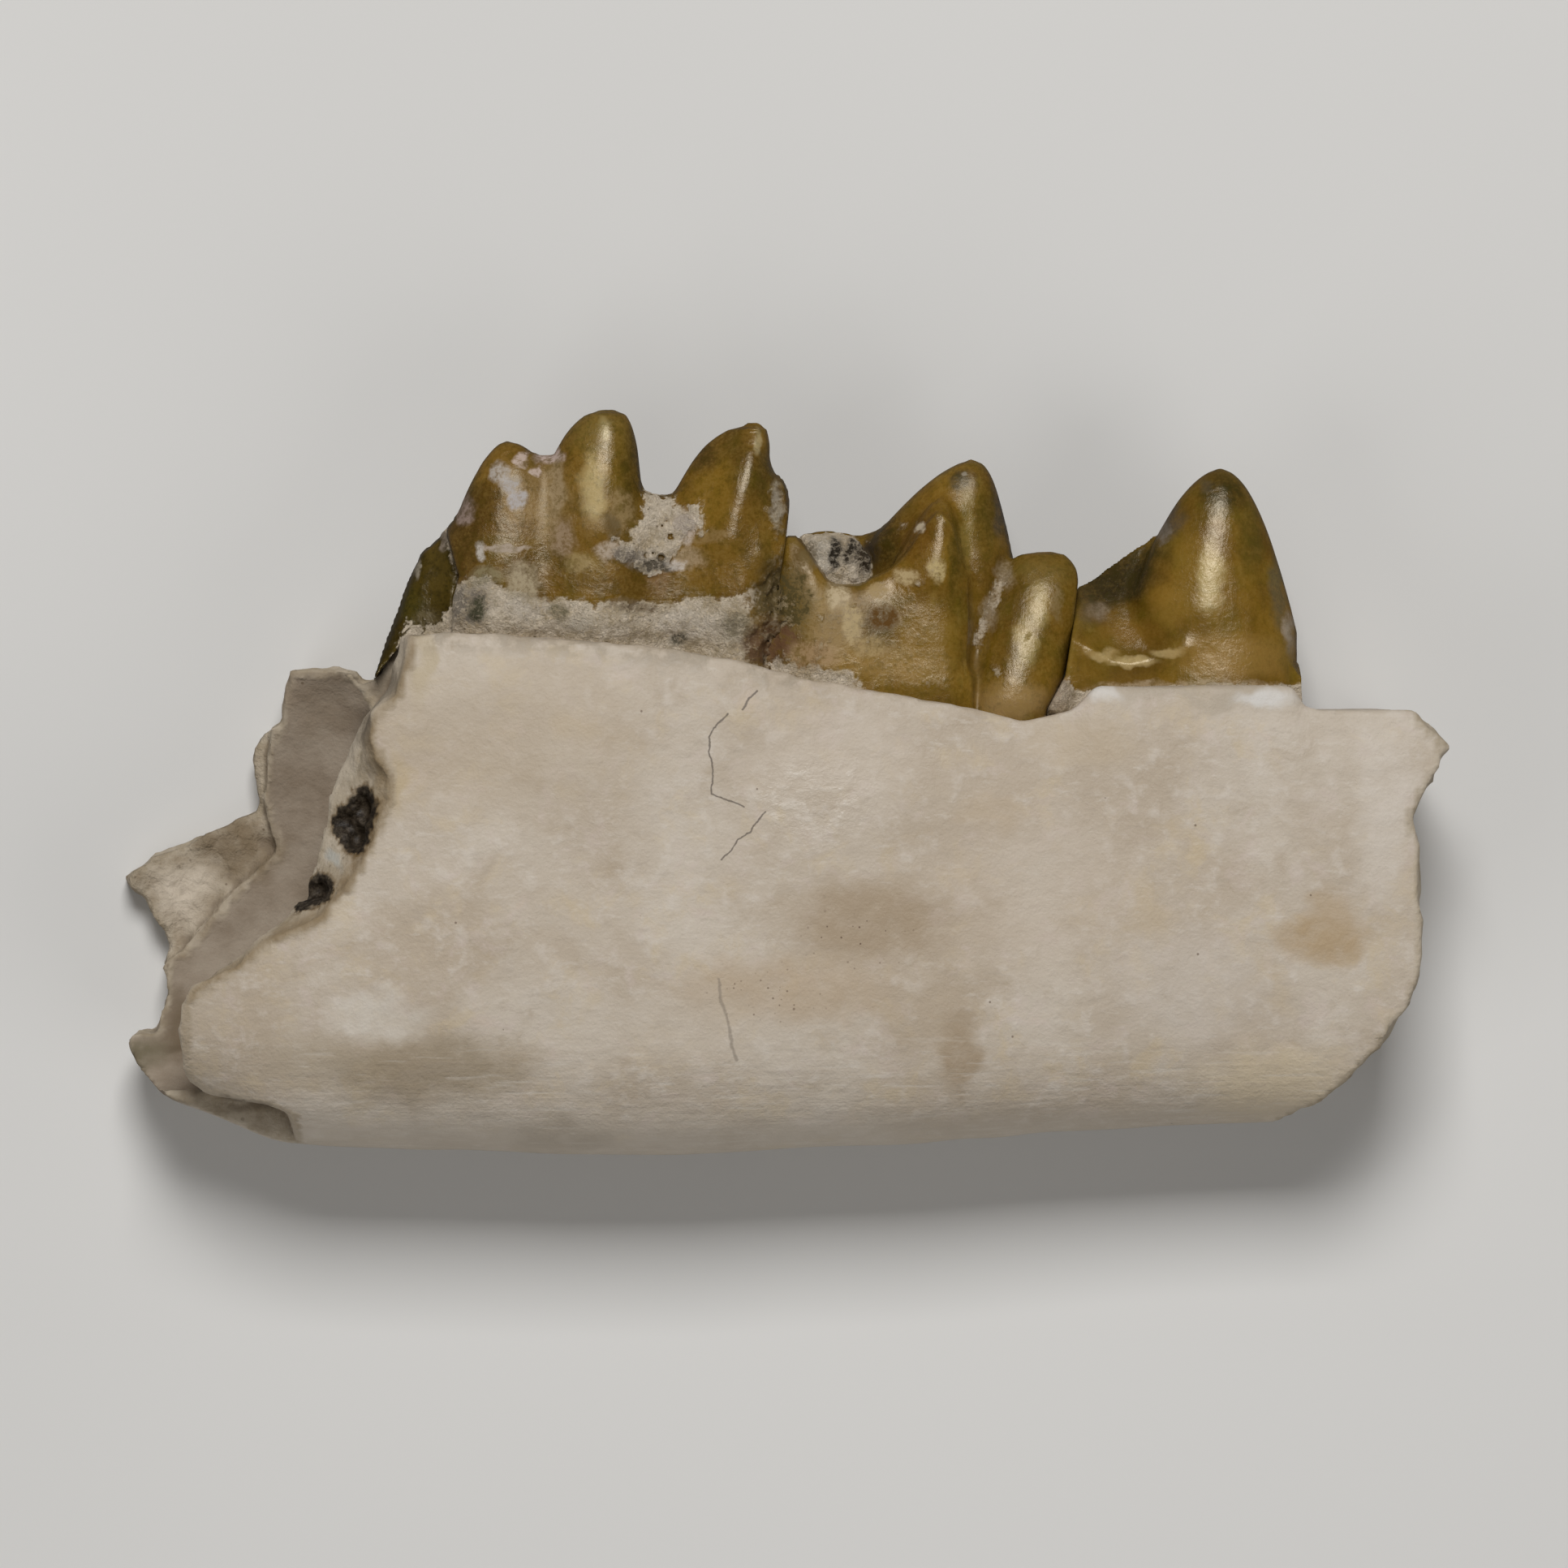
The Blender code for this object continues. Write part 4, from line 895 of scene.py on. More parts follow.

# Shades in the enamel, some of them painted highlights: (middle, half sizes, colour, strength).
MOLAR_SHADES = [
    ((-3.95, 7.5, 3.8), (0.9, 0.9, 1.6), (0.17, 0.125, 0.03), 0.7),
    # Partly paler enamel, partly a painted highlight along cusp B's rib.
    ((-4.08, 6.4, 4.7), (0.4, 1.1, 1.6), (0.46, 0.35, 0.15), 0.85),
    ((-3.5, 6.8, 4.4), (0.45, 1.3, 1.6), (0.13, 0.078, 0.007), 0.8),
    # Painted highlights at the tip of cusp B and at the top of cusp C's streak.
    ((-3.86, 7.75, 4.1), (0.2, 0.35, 1.0), (0.34, 0.27, 0.12), 0.7),
    ((-3.8, 7.6, 4.2), (0.12, 0.2, 1.0), (0.5, 0.42, 0.24), 0.7),
    ((-0.54, 7.42, 4.1), (0.11, 0.4, 1.2), (0.42, 0.34, 0.18), 0.8),
    ((-1.5, 6.3, 4.5), (0.7, 1.2, 1.5), (0.2, 0.108, 0.01), 0.9),
    ((-5.4, 6.2, 4.6), (0.9, 1.2, 1.5), (0.16, 0.085, 0.018), 0.8),
    ((-4.95, 6.1, 4.6), (0.35, 1.4, 1.5), (0.21, 0.14, 0.055), 0.6),
    ((-4.3, 5.3, 4.6), (0.9, 0.7, 1.5), (0.17, 0.088, 0.01), 0.8),
    ((-4.3, 4.8, 4.6), (0.5, 0.3, 1.5), (0.25, 0.17, 0.05), 0.5),
    ((-4.0, 4.3, 4.6), (0.8, 0.35, 1.5), (0.105, 0.052, 0.004), 0.85),
    ((-6.1, 7.1, 4.2), (0.8, 0.6, 1.5), (0.17, 0.088, 0.012), 0.8),
    ((-6.85, 5.3, 4.3), (0.8, 1.6, 1.8), (0.06, 0.029, 0.005), 0.95),
    ((-6.35, 6.0, 4.5), (0.5, 0.9, 1.5), (0.075, 0.036, 0.004), 0.9),
    ((-5.9, 5.5, 4.6), (0.9, 0.35, 1.5), (0.1, 0.048, 0.006), 0.85),
    ((-6.25, 5.0, 4.6), (0.6, 0.6, 1.5), (0.11, 0.062, 0.006), 0.8),
    ((-4.95, 4.4, 4.6), (0.35, 0.6, 1.5), (0.13, 0.065, 0.006), 0.85),
    ((-3.1, 4.3, 4.6), (1.2, 0.55, 1.5), (0.095, 0.047, 0.005), 0.9),
    ((-1.1, 4.55, 4.6), (1.2, 0.55, 1.5), (0.15, 0.077, 0.009), 0.85),
    ((-2.7, 4.5, 4.6), (0.3, 0.5, 1.5), (0.2, 0.11, 0.05), 0.7),
    ((-1.7, 7.1, 3.7), (0.6, 0.5, 1.5), (0.05, 0.026, 0.006), 0.9),
    ((-3.2, 6.7, 4.1), (0.45, 1.3, 1.5), (0.06, 0.036, 0.004), 0.85),
    ((-0.35, 6.6, 4.2), (0.25, 1.2, 1.5), (0.075, 0.045, 0.006), 0.85),
    ((-0.6, 5.0, 4.4), (0.5, 0.5, 1.5), (0.1, 0.052, 0.007), 0.8),
]
# Where a thin film dulls the gloss: (middle, half sizes, strength).
MOLAR_FILM = [
    ((-5.2, 6.1, 4.6), (1.3, 1.2, 2.0), 0.2),
    ((-4.1, 6.2, 4.7), (0.5, 1.0, 1.6), 0.4),
]
# Sediment and dirt on top of it, with a grey streak on cusp A that is partly a painted highlight:
# (middle, half sizes, colour, strength).
MOLAR_DIRT_AND_HIGHLIGHT = [
    ((-5.2, 6.2, 4.6), (0.9, 1.2, 1.5), (0.26, 0.18, 0.08), 0.25),
    # A grey streak on cusp A: partly dirt, partly a painted highlight.
    ((-6.15, 6.75, 4.5), (0.28, 0.32, 1.5), (0.42, 0.39, 0.36), 0.7),
    ((-5.9, 6.45, 4.6), (0.3, 0.3, 1.5), (0.4, 0.38, 0.37), 0.75),
    ((-5.7, 6.15, 4.6), (0.25, 0.3, 1.5), (0.4, 0.38, 0.38), 0.8),
    ((-5.65, 7.05, 4.5), (0.22, 0.25, 1.5), (0.48, 0.38, 0.33), 0.8),
    ((-5.35, 6.8, 4.6), (0.15, 0.15, 1.5), (0.48, 0.38, 0.33), 0.8),
    ((-5.05, 7.1, 4.2), (0.4, 0.25, 1.5), (0.44, 0.34, 0.3), 0.9),
    ((-4.9, 6.4, 4.6), (0.22, 0.9, 1.5), (0.34, 0.26, 0.16), 0.45),
    ((-4.7, 5.3, 4.6), (0.4, 0.6, 1.5), (0.3, 0.22, 0.15), 0.6),
    ((-3.5, 5.9, 4.6), (0.4, 0.6, 1.5), (0.27, 0.19, 0.09), 0.55),
    ((-3.7, 5.6, 4.7), (0.3, 0.5, 1.5), (0.07, 0.045, 0.012), 0.7),
    ((-6.5, 5.02, 4.6), (0.16, 0.24, 1.5), (0.5, 0.47, 0.43), 0.7),
    ((-6.0, 5.1, 4.6), (0.7, 0.09, 1.5), (0.4, 0.33, 0.27), 0.7),
    ((-6.9, 5.95, 4.2), (0.3, 0.45, 1.5), (0.26, 0.19, 0.16), 0.8),
    ((-5.65, 4.35, 4.6), (0.45, 0.6, 1.5), (0.34, 0.28, 0.18), 0.85),
    ((-6.4, 4.5, 4.6), (0.5, 0.3, 1.5), (0.2, 0.17, 0.09), 0.7),
    ((-4.4, 4.75, 4.6), (0.4, 0.25, 1.5), (0.34, 0.26, 0.12), 0.35),
    ((-3.75, 5.05, 4.7), (0.45, 0.3, 1.5), (0.38, 0.31, 0.24), 0.85),
    ((-1.5, 5.35, 4.5), (0.6, 0.25, 1.5), (0.3, 0.22, 0.12), 0.25),
    ((-2.0, 4.9, 4.6), (0.5, 0.35, 1.5), (0.3, 0.22, 0.13), 0.6),
    ((-3.3, 4.95, 4.6), (0.45, 0.3, 1.2), (0.15, 0.125, 0.1), 0.8),
    ((-2.8, 4.72, 4.6), (0.6, 0.25, 1.2), (0.08, 0.065, 0.045), 0.95),
    ((-2.3, 4.72, 4.6), (0.3, 0.16, 1.2), (0.48, 0.43, 0.38), 0.8),
    ((-2.1, 5.6, 4.6), (0.3, 0.5, 1.2), (0.45, 0.38, 0.32), 0.7),
    ((-0.1, 6.05, 4.2), (0.17, 0.7, 1.5), (0.34, 0.31, 0.25), 0.6),
    ((-6.85, 3.9, 4.6), (0.8, 0.6, 1.2), (0.165, 0.14, 0.11), 0.9),
    ((-6.55, 3.8, 4.6), (0.3, 0.35, 1.2), (0.05, 0.05, 0.022), 0.9),
    ((-5.5, 3.75, 4.6), (0.65, 0.35, 1.2), (0.54, 0.47, 0.38), 0.7),
    ((-4.84, 3.73, 4.6), (0.3, 0.25, 1.2), (0.14, 0.12, 0.06), 0.85),
    ((-4.3, 3.5, 4.6), (0.5, 0.3, 1.2), (0.5, 0.44, 0.35), 0.7),
    ((-3.3, 3.85, 4.6), (0.8, 0.22, 1.2), (0.13, 0.085, 0.04), 0.85),
    ((-2.1, 3.5, 4.6), (0.9, 0.4, 1.2), (0.58, 0.51, 0.42), 0.6),
    ((-3.6, 3.35, 4.6), (0.75, 0.3, 1.2), (0.66, 0.57, 0.45), 0.75),
    ((-2.2, 3.15, 4.8), (0.3, 0.25, 1.2), (0.08, 0.07, 0.045), 0.9),
    ((-0.95, 3.4, 4.8), (0.6, 0.5, 1.2), (0.17, 0.14, 0.08), 0.8),
    ((-0.15, 4.1, 4.5), (0.6, 1.0, 1.6), (0.08, 0.055, 0.018), 1.0),
    ((-0.3, 3.05, 4.6), (0.7, 0.7, 1.6), (0.1, 0.052, 0.026), 0.9),
]


def enamel(name, body, deep, pale, shades, film, dirt_and_highlights, worn, gloss=0.19):
    """Glossy brown enamel with painted shade in its dents; its ribs are paler, partly wear, partly
    painted highlight.

    A thin film takes the gloss off it in places, and sediment, dirt and some painted highlights
    lie on top.
    """
    material, shader, place = start_finish(name)
    crust = mask_of(place, "crust")
    stand = mask_of(place, "relief")
    swell = mask_of(place, "swell")
    speckle = mottle(place, 4.5, 6.0, 0.7).ramp(0.36, 0.64)
    streak = mottle(place, 3.2, 5.0, 0.6, stretch=(1.0, 0.3, 1.0))
    fine = mottle(place, 13.0, 4.0, 0.7).ramp(0.36, 0.64)
    uneven = warped(place, 2.2, 0.45)
    light_grains = (1.0 - speckle) * (1.0 - fine)
    olive = (deep[0] * 0.85, deep[0] * 0.66, deep[2])
    darkest = tuple(part * 0.4 for part in deep)

    colour = mottle(place, 0.7, 2.0, 0.5).ramp(0.3, 0.7).blend(body, deep)
    colour = colour.paint(
        (olive, mottle(place, 1.2, 3.0, 0.5).ramp(0.42, 0.75, 0.5)),
        # Painted shade in the broad dents; ribs painted paler, partly wear and partly painted
        # highlight.
        (deep, swell.ramp(0.0, -0.12, 0.7)),
        (pale, swell.ramp(0.03, 0.16, 0.6)),
        (deep, streak.ramp(0.48, 0.75, 0.5)),
        (pale, streak.ramp(0.45, 0.2, 0.4)))
    colour = stained(colour, uneven, shades, speckle * 0.3 + 0.7)
    colour = colour.paint(
        (olive, speckle.ramp(0.4, 1.0, 0.45 * worn)),
        (darkest, speckle * fine.ramp(0.4, 1.0, 0.5 * worn)),
        (pale, light_grains * (0.4 * worn)))

    # Chalky sediment, where the mesh carries it.
    chalk = mottle(place, 1.3, 6.0, 0.7).ramp(0.38, 0.6)
    chalk = chalk.blend((0.45, 0.355, 0.23), (0.64, 0.545, 0.42)).paint(
        ((0.10, 0.07, 0.04), dots(place, 6.0, 0.3, 0.22) * 0.7),
        ((0.21, 0.165, 0.095), speckle.ramp(0.6, 1.0, 0.45)),
        ((0.65, 0.56, 0.44), light_grains * 0.6),
        # Painted shade in the sediment's small hollows and painted light on its raised grains.
        ((0.10, 0.07, 0.04), stand.ramp(-0.02, -0.06, 0.45)),
        ((0.58, 0.49, 0.38), stand.ramp(0.005, 0.03, 0.35)))
    crumbly = (crust + speckle * 0.5 - 0.25).ramp(0.2, 0.8) * crust.ramp(0.0, 0.3)
    colour = colour.paint((chalk, crumbly))

    # Thin films, and dirt and some painted highlights, grainy where they end.
    dull = crust
    for row in film:
        dull = dull.most(patch(uneven, *row))
    grainy = ((1.0 - speckle) * 1.4 + 0.6) * ((1.0 - fine) * 0.6 + 0.4)
    for middle, reach, tint, strength in dirt_and_highlights:
        amount = (patch(uneven, middle, reach, strength) * grainy).least(strength)
        colour = colour.paint((tint, amount))
        dull = dull.most(amount)

    height = mottle(place, 2.4, 3.0) * 0.3 + streak * 0.25 + fine * (crust * 0.5 + 0.04 * worn)
    height = height + speckle * (crust * 0.5 + 0.05)
    connect(shader, {"Base Color": colour,
                     "Roughness": (streak * 0.12 + gloss) * (1.0 - dull) + dull * 0.8,
                     "Normal": bump(height, 0.05),
                     "Specular IOR Level": 0.45,
                     "Specular Tint": (1.0, 0.88, 0.7, 1.0)})
    return material


molar.data.materials.append(enamel(
    "molar_enamel", body=(0.17, 0.09, 0.01), deep=(0.085, 0.042, 0.004), pale=(0.27, 0.18, 0.05),
    shades=MOLAR_SHADES, film=MOLAR_FILM, dirt_and_highlights=MOLAR_DIRT_AND_HIGHLIGHT, worn=0.6))

# The rear premolar: a brown enamel tooth with a high main cusp, a lower one in front of it on
# the tongue side, a basin behind that is still full of sediment, and a slanting front lobe.
REAR_LOW = (-0.75, 0.95, 1.0)
REAR_HIGH = (6.65, 7.2, 5.1)
REAR_BASE = 2.1
REAR_CHEEK_CREST = [
    (-0.8, 4.4, 2.4), (0.2, 5.0, 2.2), (0.45, 5.48, 2.1), (1.0, 5.53, 2.05), (1.7, 5.42, 2.15),
    (2.1, 5.55, 2.25), (2.6, 5.92, 2.4), (3.1, 6.25, 2.5), (3.6, 6.6, 2.6), (4.1, 6.8, 2.6),
    (4.6, 6.3, 2.6), (4.9, 5.5, 2.6), (5.1, 4.6, 2.7),
]
REAR_TONGUE_RIM = [
    (-0.8, 4.2, 3.2), (-0.2, 4.9, 3.45), (0.08, 5.4, 3.6), (0.35, 5.38, 3.65), (0.62, 5.0, 3.75),
    (0.85, 4.62, 3.8), (1.05, 4.36, 3.8), (1.35, 4.3, 3.8), (1.7, 4.34, 3.8), (1.95, 4.48, 3.75),
    (2.4, 4.72, 3.7), (2.65, 4.95, 3.7), (3.0, 5.5, 3.65), (3.4, 5.95, 3.6), (3.75, 5.6, 3.5),
    (4.0, 4.6, 3.4),
]
REAR_CUSPS = [
    ((4.1, 7.06, 2.6), ((4.2, 0.66, 2.2), (1.2, 0.35, 1.15), (1.35, 0.24, 1.35), (1.2, 0.5, 1.1))),
    ((3.46, 6.15, 3.6), ((1.9, 0.62, 1.6), (0.8, 0.6, 0.85), (1.08, 0.4, 1.08), (0.9, 0.6, 0.9))),
    ((1.7, 4.25, 2.95), ((2.4, 0.12, 2.4), (3.0, 0.12, 3.0), (1.1, 0.17, 1.1), (1.3, 0.25, 1.3))),
]
# The lobe: tip, base and flanks, and how far its base leans back and to the tongue side.
FRONT_LOBE = ((5.85, 5.05, 3.2), 1.5,
              ((1.9, 0.25, 1.15), (1.7, 0.44, 0.97), (1.25, 0.45, 1.2), (1.3, 0.4, 1.2)))
FRONT_LOBE_LEAN = (-0.85, 0.15)
REAR_RIBS = [
    ([(3.6, 5.9), (3.5, 5.2), (3.3, 4.6)], 0.42, 0.12),
    ([(5.75, 4.3), (5.4, 3.4), (4.95, 2.3)], 0.7, 0.08),
    ([(4.98, 4.8), (4.75, 4.35), (4.45, 3.65), (4.2, 3.0), (4.1, 2.6)], 0.22, -0.12),
    ([(4.6, 6.0), (4.75, 5.2)], 0.3, -0.08),
]
# Sediment in the basin: (middle, half sizes). The groove beside the lobe holds some too.
BASIN_FILL = [
    ((0.95, 4.6, 2.8), (0.85, 0.88, 0.6)),
    ((1.4, 4.5, 2.8), (0.6, 0.85, 0.5)),
    ((0.5, 4.7, 2.8), (0.5, 0.72, 0.5)),
]
GROOVE = [(4.98, 4.88), (4.68, 4.19), (4.43, 3.57), (4.24, 3.03)]
LOBE_LINE = [(5.6, 0.0), (5.75, 1.6), (6.15, 2.34), (6.33, 3.45), (6.45, 4.4), (6.5, 9.5)]

x, y, z = block(REAR_LOW, REAR_HIGH, TOOTH_GRAIN)
tooth = merge(
    ridge(x, y, z, REAR_CHEEK_CREST, REAR_BASE, tongue=1.1, cheek=0.75),
    ridge(x, y, z, REAR_TONGUE_RIM, REAR_BASE, tongue=0.92, cheek=0.8, power=0.18), soft=0.12)
for tip, sides in REAR_CUSPS:
    tooth = merge(tooth, cusp(x, y, z, tip, REAR_BASE, sides), soft=0.3)
tooth = merge(tooth, cusp(x, y, z, *FRONT_LOBE, lean=FRONT_LOBE_LEAN), soft=0.14)
tooth = ribbed(evened(tooth), x, y, z, REAR_RIBS, middle=3.0)
tooth = tooth + 0.015 * grain(x, y, z, 0.9, 51) + 0.006 * grain(x, y, z, 0.3, 52)
crumbs = rough(x, y, z, 0.22, 53)
hind_corner = 1.3 * np.exp(-((x + 0.1) / 0.75) ** 2 - ((y - 3.5) / 1.1) ** 2)
mixed = ramp(rough(x, y, z, 0.35, 54) + hind_corner, 0.7, 1.2)
low_crust = ramp(0.2 * crumbs + 2.75 - 0.2 * x - y, -0.05, 0.2) * ramp(x, 2.2, 1.2)
tooth = tooth + 0.04 * crumbs * mixed + 0.05 * low_crust
fill = np.full_like(tooth, 9.0)
for middle, reach in BASIN_FILL:
    fill = merge(fill, ellipsoid(x, y, z, middle, reach), 0.12)
fill = fill + 0.06 * crumbs
grouting = ramp(route_distance(x, y, GROOVE) + 0.04 * crumbs, 0.15, 0.06)
grouting = 0.5 * grouting * ramp(z, 3.2, 3.6)
crust = np.maximum(np.maximum(0.35 * mixed, low_crust), ramp(tooth - fill, -0.02, 0.05))
crust = np.maximum(crust, grouting)
tooth = trimmed(merge(tooth, fill, 0.03), x, y, PREMOLAR_LINE, 1.0)
tooth = trimmed(tooth, x, y, LOBE_LINE, -1.0)
rear = tooth_piece("rear_premolar_enamel", tooth, REAR_LOW, crust)
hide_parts("rear_premolar")

PREMOLAR_BODY, PREMOLAR_PALE = (0.185, 0.10, 0.01), (0.29, 0.195, 0.05)
REAR_SHADES = [
    ((2.3, 5.2, 3.0), (1.0, 0.8, 1.6), (0.025, 0.014, 0.002), 0.95),
    ((2.9, 5.4, 4.0), (0.7, 1.0, 1.4), (0.11, 0.046, 0.003), 0.9),
    ((2.6, 4.4, 4.4), (0.8, 0.5, 1.4), (0.17, 0.085, 0.008), 0.7),
    ((3.2, 6.2, 3.4), (0.7, 0.5, 1.6), (0.17, 0.085, 0.008), 0.7),
    ((4.0, 5.6, 3.6), (0.25, 1.4, 1.6), (0.18, 0.135, 0.035), 0.6),
    # Painted shade in the valley between the near cusp and the main cusp.
    ((3.75, 4.8, 4.0), (0.2, 1.4, 1.4), (0.065, 0.042, 0.003), 0.8),
    ((2.07, 3.5, 4.4), (0.5, 0.5, 1.4), (0.06, 0.03, 0.002), 1.0),
    ((3.1, 3.1, 4.4), (0.9, 1.1, 1.4), (0.2, 0.11, 0.014), 0.8),
    ((4.75, 5.9, 2.8), (0.3, 1.0, 1.6), (0.05, 0.042, 0.036), 0.9),
    ((4.4, 5.6, 3.4), (0.35, 1.2, 1.6), (0.07, 0.045, 0.006), 0.7),
    ((3.95, 6.6, 3.2), (0.35, 0.35, 1.4), (0.028, 0.024, 0.014), 0.9),
    ((5.6, 4.6, 3.8), (0.9, 0.5, 1.4), (0.15, 0.1, 0.022), 0.7),
    # Painted highlight along the front lobe's streak.
    ((5.6, 3.9, 4.3), (0.3, 0.7, 1.6), (0.42, 0.32, 0.12), 0.55),
    ((5.3, 3.1, 4.3), (0.32, 0.8, 1.6), (0.42, 0.32, 0.12), 0.55),
    ((5.1, 4.0, 4.0), (0.3, 0.7, 1.4), (0.085, 0.042, 0.003), 0.8),
    ((6.2, 2.8, 3.8), (0.3, 0.6, 1.4), (0.07, 0.035, 0.006), 0.8),
    ((5.0, 1.8, 4.4), (1.0, 0.6, 1.6), (0.3, 0.19, 0.075), 0.9),
    ((2.2, 2.6, 4.4), (1.8, 0.55, 1.4), (0.27, 0.165, 0.05), 0.8),
]
REAR_FILM = [
    ((1.2, 3.8, 4.4), (1.1, 1.2, 2.0), 0.35),
    ((3.95, 6.5, 3.6), (0.5, 0.6, 1.5), 0.15),
    ((4.2, 2.3, 4.2), (0.25, 0.9, 1.5), 0.8),
]
REAR_DIRT_AND_HIGHLIGHTS = [
    ((1.0, 3.6, 4.4), (0.9, 1.1, 1.4), (0.27, 0.18, 0.07), 0.5),
    ((1.2, 4.1, 4.4), (0.35, 0.45, 1.4), (0.48, 0.39, 0.25), 0.75),
    ((1.5, 3.5, 4.4), (0.3, 0.55, 1.4), (0.44, 0.34, 0.18), 0.6),
    ((1.9, 3.0, 4.4), (0.5, 0.3, 1.4), (0.36, 0.26, 0.12), 0.6),
    ((2.7, 4.5, 4.4), (0.35, 0.2, 1.4), (0.44, 0.34, 0.18), 0.7),
    ((2.05, 4.2, 4.4), (0.3, 0.2, 1.4), (0.36, 0.26, 0.12), 0.5),
    # Painted highlight at the foot of the near cusp's streak.
    ((3.35, 4.65, 4.4), (0.22, 0.4, 1.4), (0.46, 0.36, 0.17), 0.75),
    ((3.0, 5.6, 4.2), (0.16, 0.2, 1.4), (0.5, 0.42, 0.3), 0.8),
    ((0.9, 5.0, 3.3), (0.5, 0.6, 1.4), (0.5, 0.45, 0.37), 0.7),
    ((1.16, 5.0, 3.3), (0.2, 0.55, 1.4), (0.02, 0.015, 0.01), 1.0),
    ((1.5, 5.1, 3.3), (0.25, 0.4, 1.4), (0.03, 0.022, 0.014), 1.0),
    ((1.85, 5.0, 3.3), (0.35, 0.6, 1.4), (0.035, 0.023, 0.012), 1.0),
    ((0.45, 5.0, 3.9), (0.4, 0.6, 1.4), (0.09, 0.05, 0.008), 0.9),
    ((0.15, 3.9, 4.3), (0.75, 1.1, 1.4), (0.06, 0.042, 0.009), 1.0),
    ((-0.1, 3.1, 4.3), (0.7, 0.6, 1.4), (0.1, 0.045, 0.018), 0.95),
    ((0.7, 2.8, 4.3), (0.8, 0.4, 1.4), (0.32, 0.21, 0.11), 0.7),
    ((4.85, 4.6, 4.2), (0.3, 0.5, 1.6), (0.24, 0.18, 0.107), 0.8),
    ((4.5, 3.8, 4.2), (0.25, 0.6, 1.6), (0.24, 0.18, 0.107), 0.8),
    ((6.0, 3.9, 3.8), (0.2, 0.6, 1.4), (0.17, 0.12, 0.05), 0.5),
    ((2.2, 3.58, 4.4), (0.36, 0.38, 1.4), (0.085, 0.035, 0.001), 1.0),
    # Painted highlight: a small bright spot at the main cusp's tip.
    ((4.0, 6.71, 3.6), (0.11, 0.09, 1.2), (0.36, 0.33, 0.28), 0.4),
    ((0.6, 4.9, 3.9), (0.3, 0.4, 1.4), (0.12, 0.08, 0.025), 0.7),
]
rear.data.materials.append(enamel(
    "rear_premolar_enamel", body=PREMOLAR_BODY, deep=(0.10, 0.05, 0.004), pale=PREMOLAR_PALE,
    shades=REAR_SHADES, film=REAR_FILM, dirt_and_highlights=REAR_DIRT_AND_HIGHLIGHTS, worn=0.5))

# The front premolar: one tall cusp of brown enamel with a dark sloping crest behind it, and a
# leaning tongue face that ends in a small ledge. It enters the bone with a whitish neck, and
# a lump of sediment fills the gap under the rear premolar's lobe.
FRONT_LOW = (5.3, 1.0, 1.2)
FRONT_HIGH = (11.6, 7.1, 4.7)
FRONT_BASE = 2.3
FRONT_CREST = [
    (5.8, 3.6, 2.8), (6.4, 4.3, 2.8), (6.7, 4.42, 2.75), (7.0, 4.64, 2.7), (7.4, 4.92, 2.7),
    (7.8, 5.2, 2.7), (8.1, 5.42, 2.65), (8.4, 5.45, 2.6), (8.8, 5.2, 2.6), (9.5, 4.8, 2.6),
    (10.2, 4.1, 2.4), (10.6, 3.6, 2.3), (11.0, 3.0, 2.3), (11.3, 2.6, 2.3),
]
FRONT_CUSP = ((9.55, 6.87, 2.9),
              ((2.6, 0.56, 2.0), (1.9, 0.5, 1.68), (1.45, 0.45, 1.7), (1.25, 0.5, 1.4)))
FRONT_LEDGE = [(5.8, 3.3), (6.5, 3.06), (6.79, 2.88), (7.16, 2.66), (7.55, 2.6), (7.9, 2.66),
               (8.3, 2.8), (8.7, 3.0), (9.2, 3.3), (11.3, 3.3)]
FRONT_RIBS = [
    ([(9.6, 6.4), (9.5, 5.6), (9.35, 4.8), (9.2, 3.9)], 0.6, 0.1),
    ([(6.75, 2.84), (7.16, 2.62), (7.55, 2.56), (7.9, 2.62), (8.3, 2.76), (8.75, 2.98)], 0.2,
     0.06),
    ([(10.4, 5.1), (10.65, 4.2), (10.7, 3.4)], 0.3, -0.06),
]
FRONT_NECK = [(6.0, 2.1), (6.6, 2.05), (7.5, 2.1), (8.5, 2.12), (9.5, 2.15), (11.3, 2.15)]
LOBE_SEDIMENT = ((5.95, 1.85, 3.3), (0.6, 0.6, 1.15))

x, y, z = block(FRONT_LOW, FRONT_HIGH, TOOTH_GRAIN)
tooth = merge(
    ridge(x, y, z, FRONT_CREST, along(x, FRONT_LEDGE), tongue=1.3, cheek=1.2, power=1.0),
    cusp(x, y, z, FRONT_CUSP[0], FRONT_BASE, FRONT_CUSP[1]), soft=0.15)
tooth = ribbed(evened(tooth), x, y, z, FRONT_RIBS, middle=3.0)
tooth = tooth + 0.008 * grain(x, y, z, 0.9, 61) + 0.003 * grain(x, y, z, 0.3, 62)
neck = ramp(along(x, FRONT_NECK) + 0.04 * rough(x, y, z, 0.3, 63) - y, -0.03, 0.06)
tooth = tooth + neck * 0.02 * rough(x, y, z, 0.25, 64)
lump = ellipsoid(x, y, z, *LOBE_SEDIMENT) + 0.05 * rough(x, y, z, 0.3, 65)
crust = np.maximum(neck, ramp(tooth - lump, -0.02, 0.05))
tooth = trimmed(merge(tooth, lump, 0.08), x, y, LOBE_LINE, 1.0)
front = tooth_piece("front_premolar_enamel", tooth, FRONT_LOW, crust)
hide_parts("front_premolar")

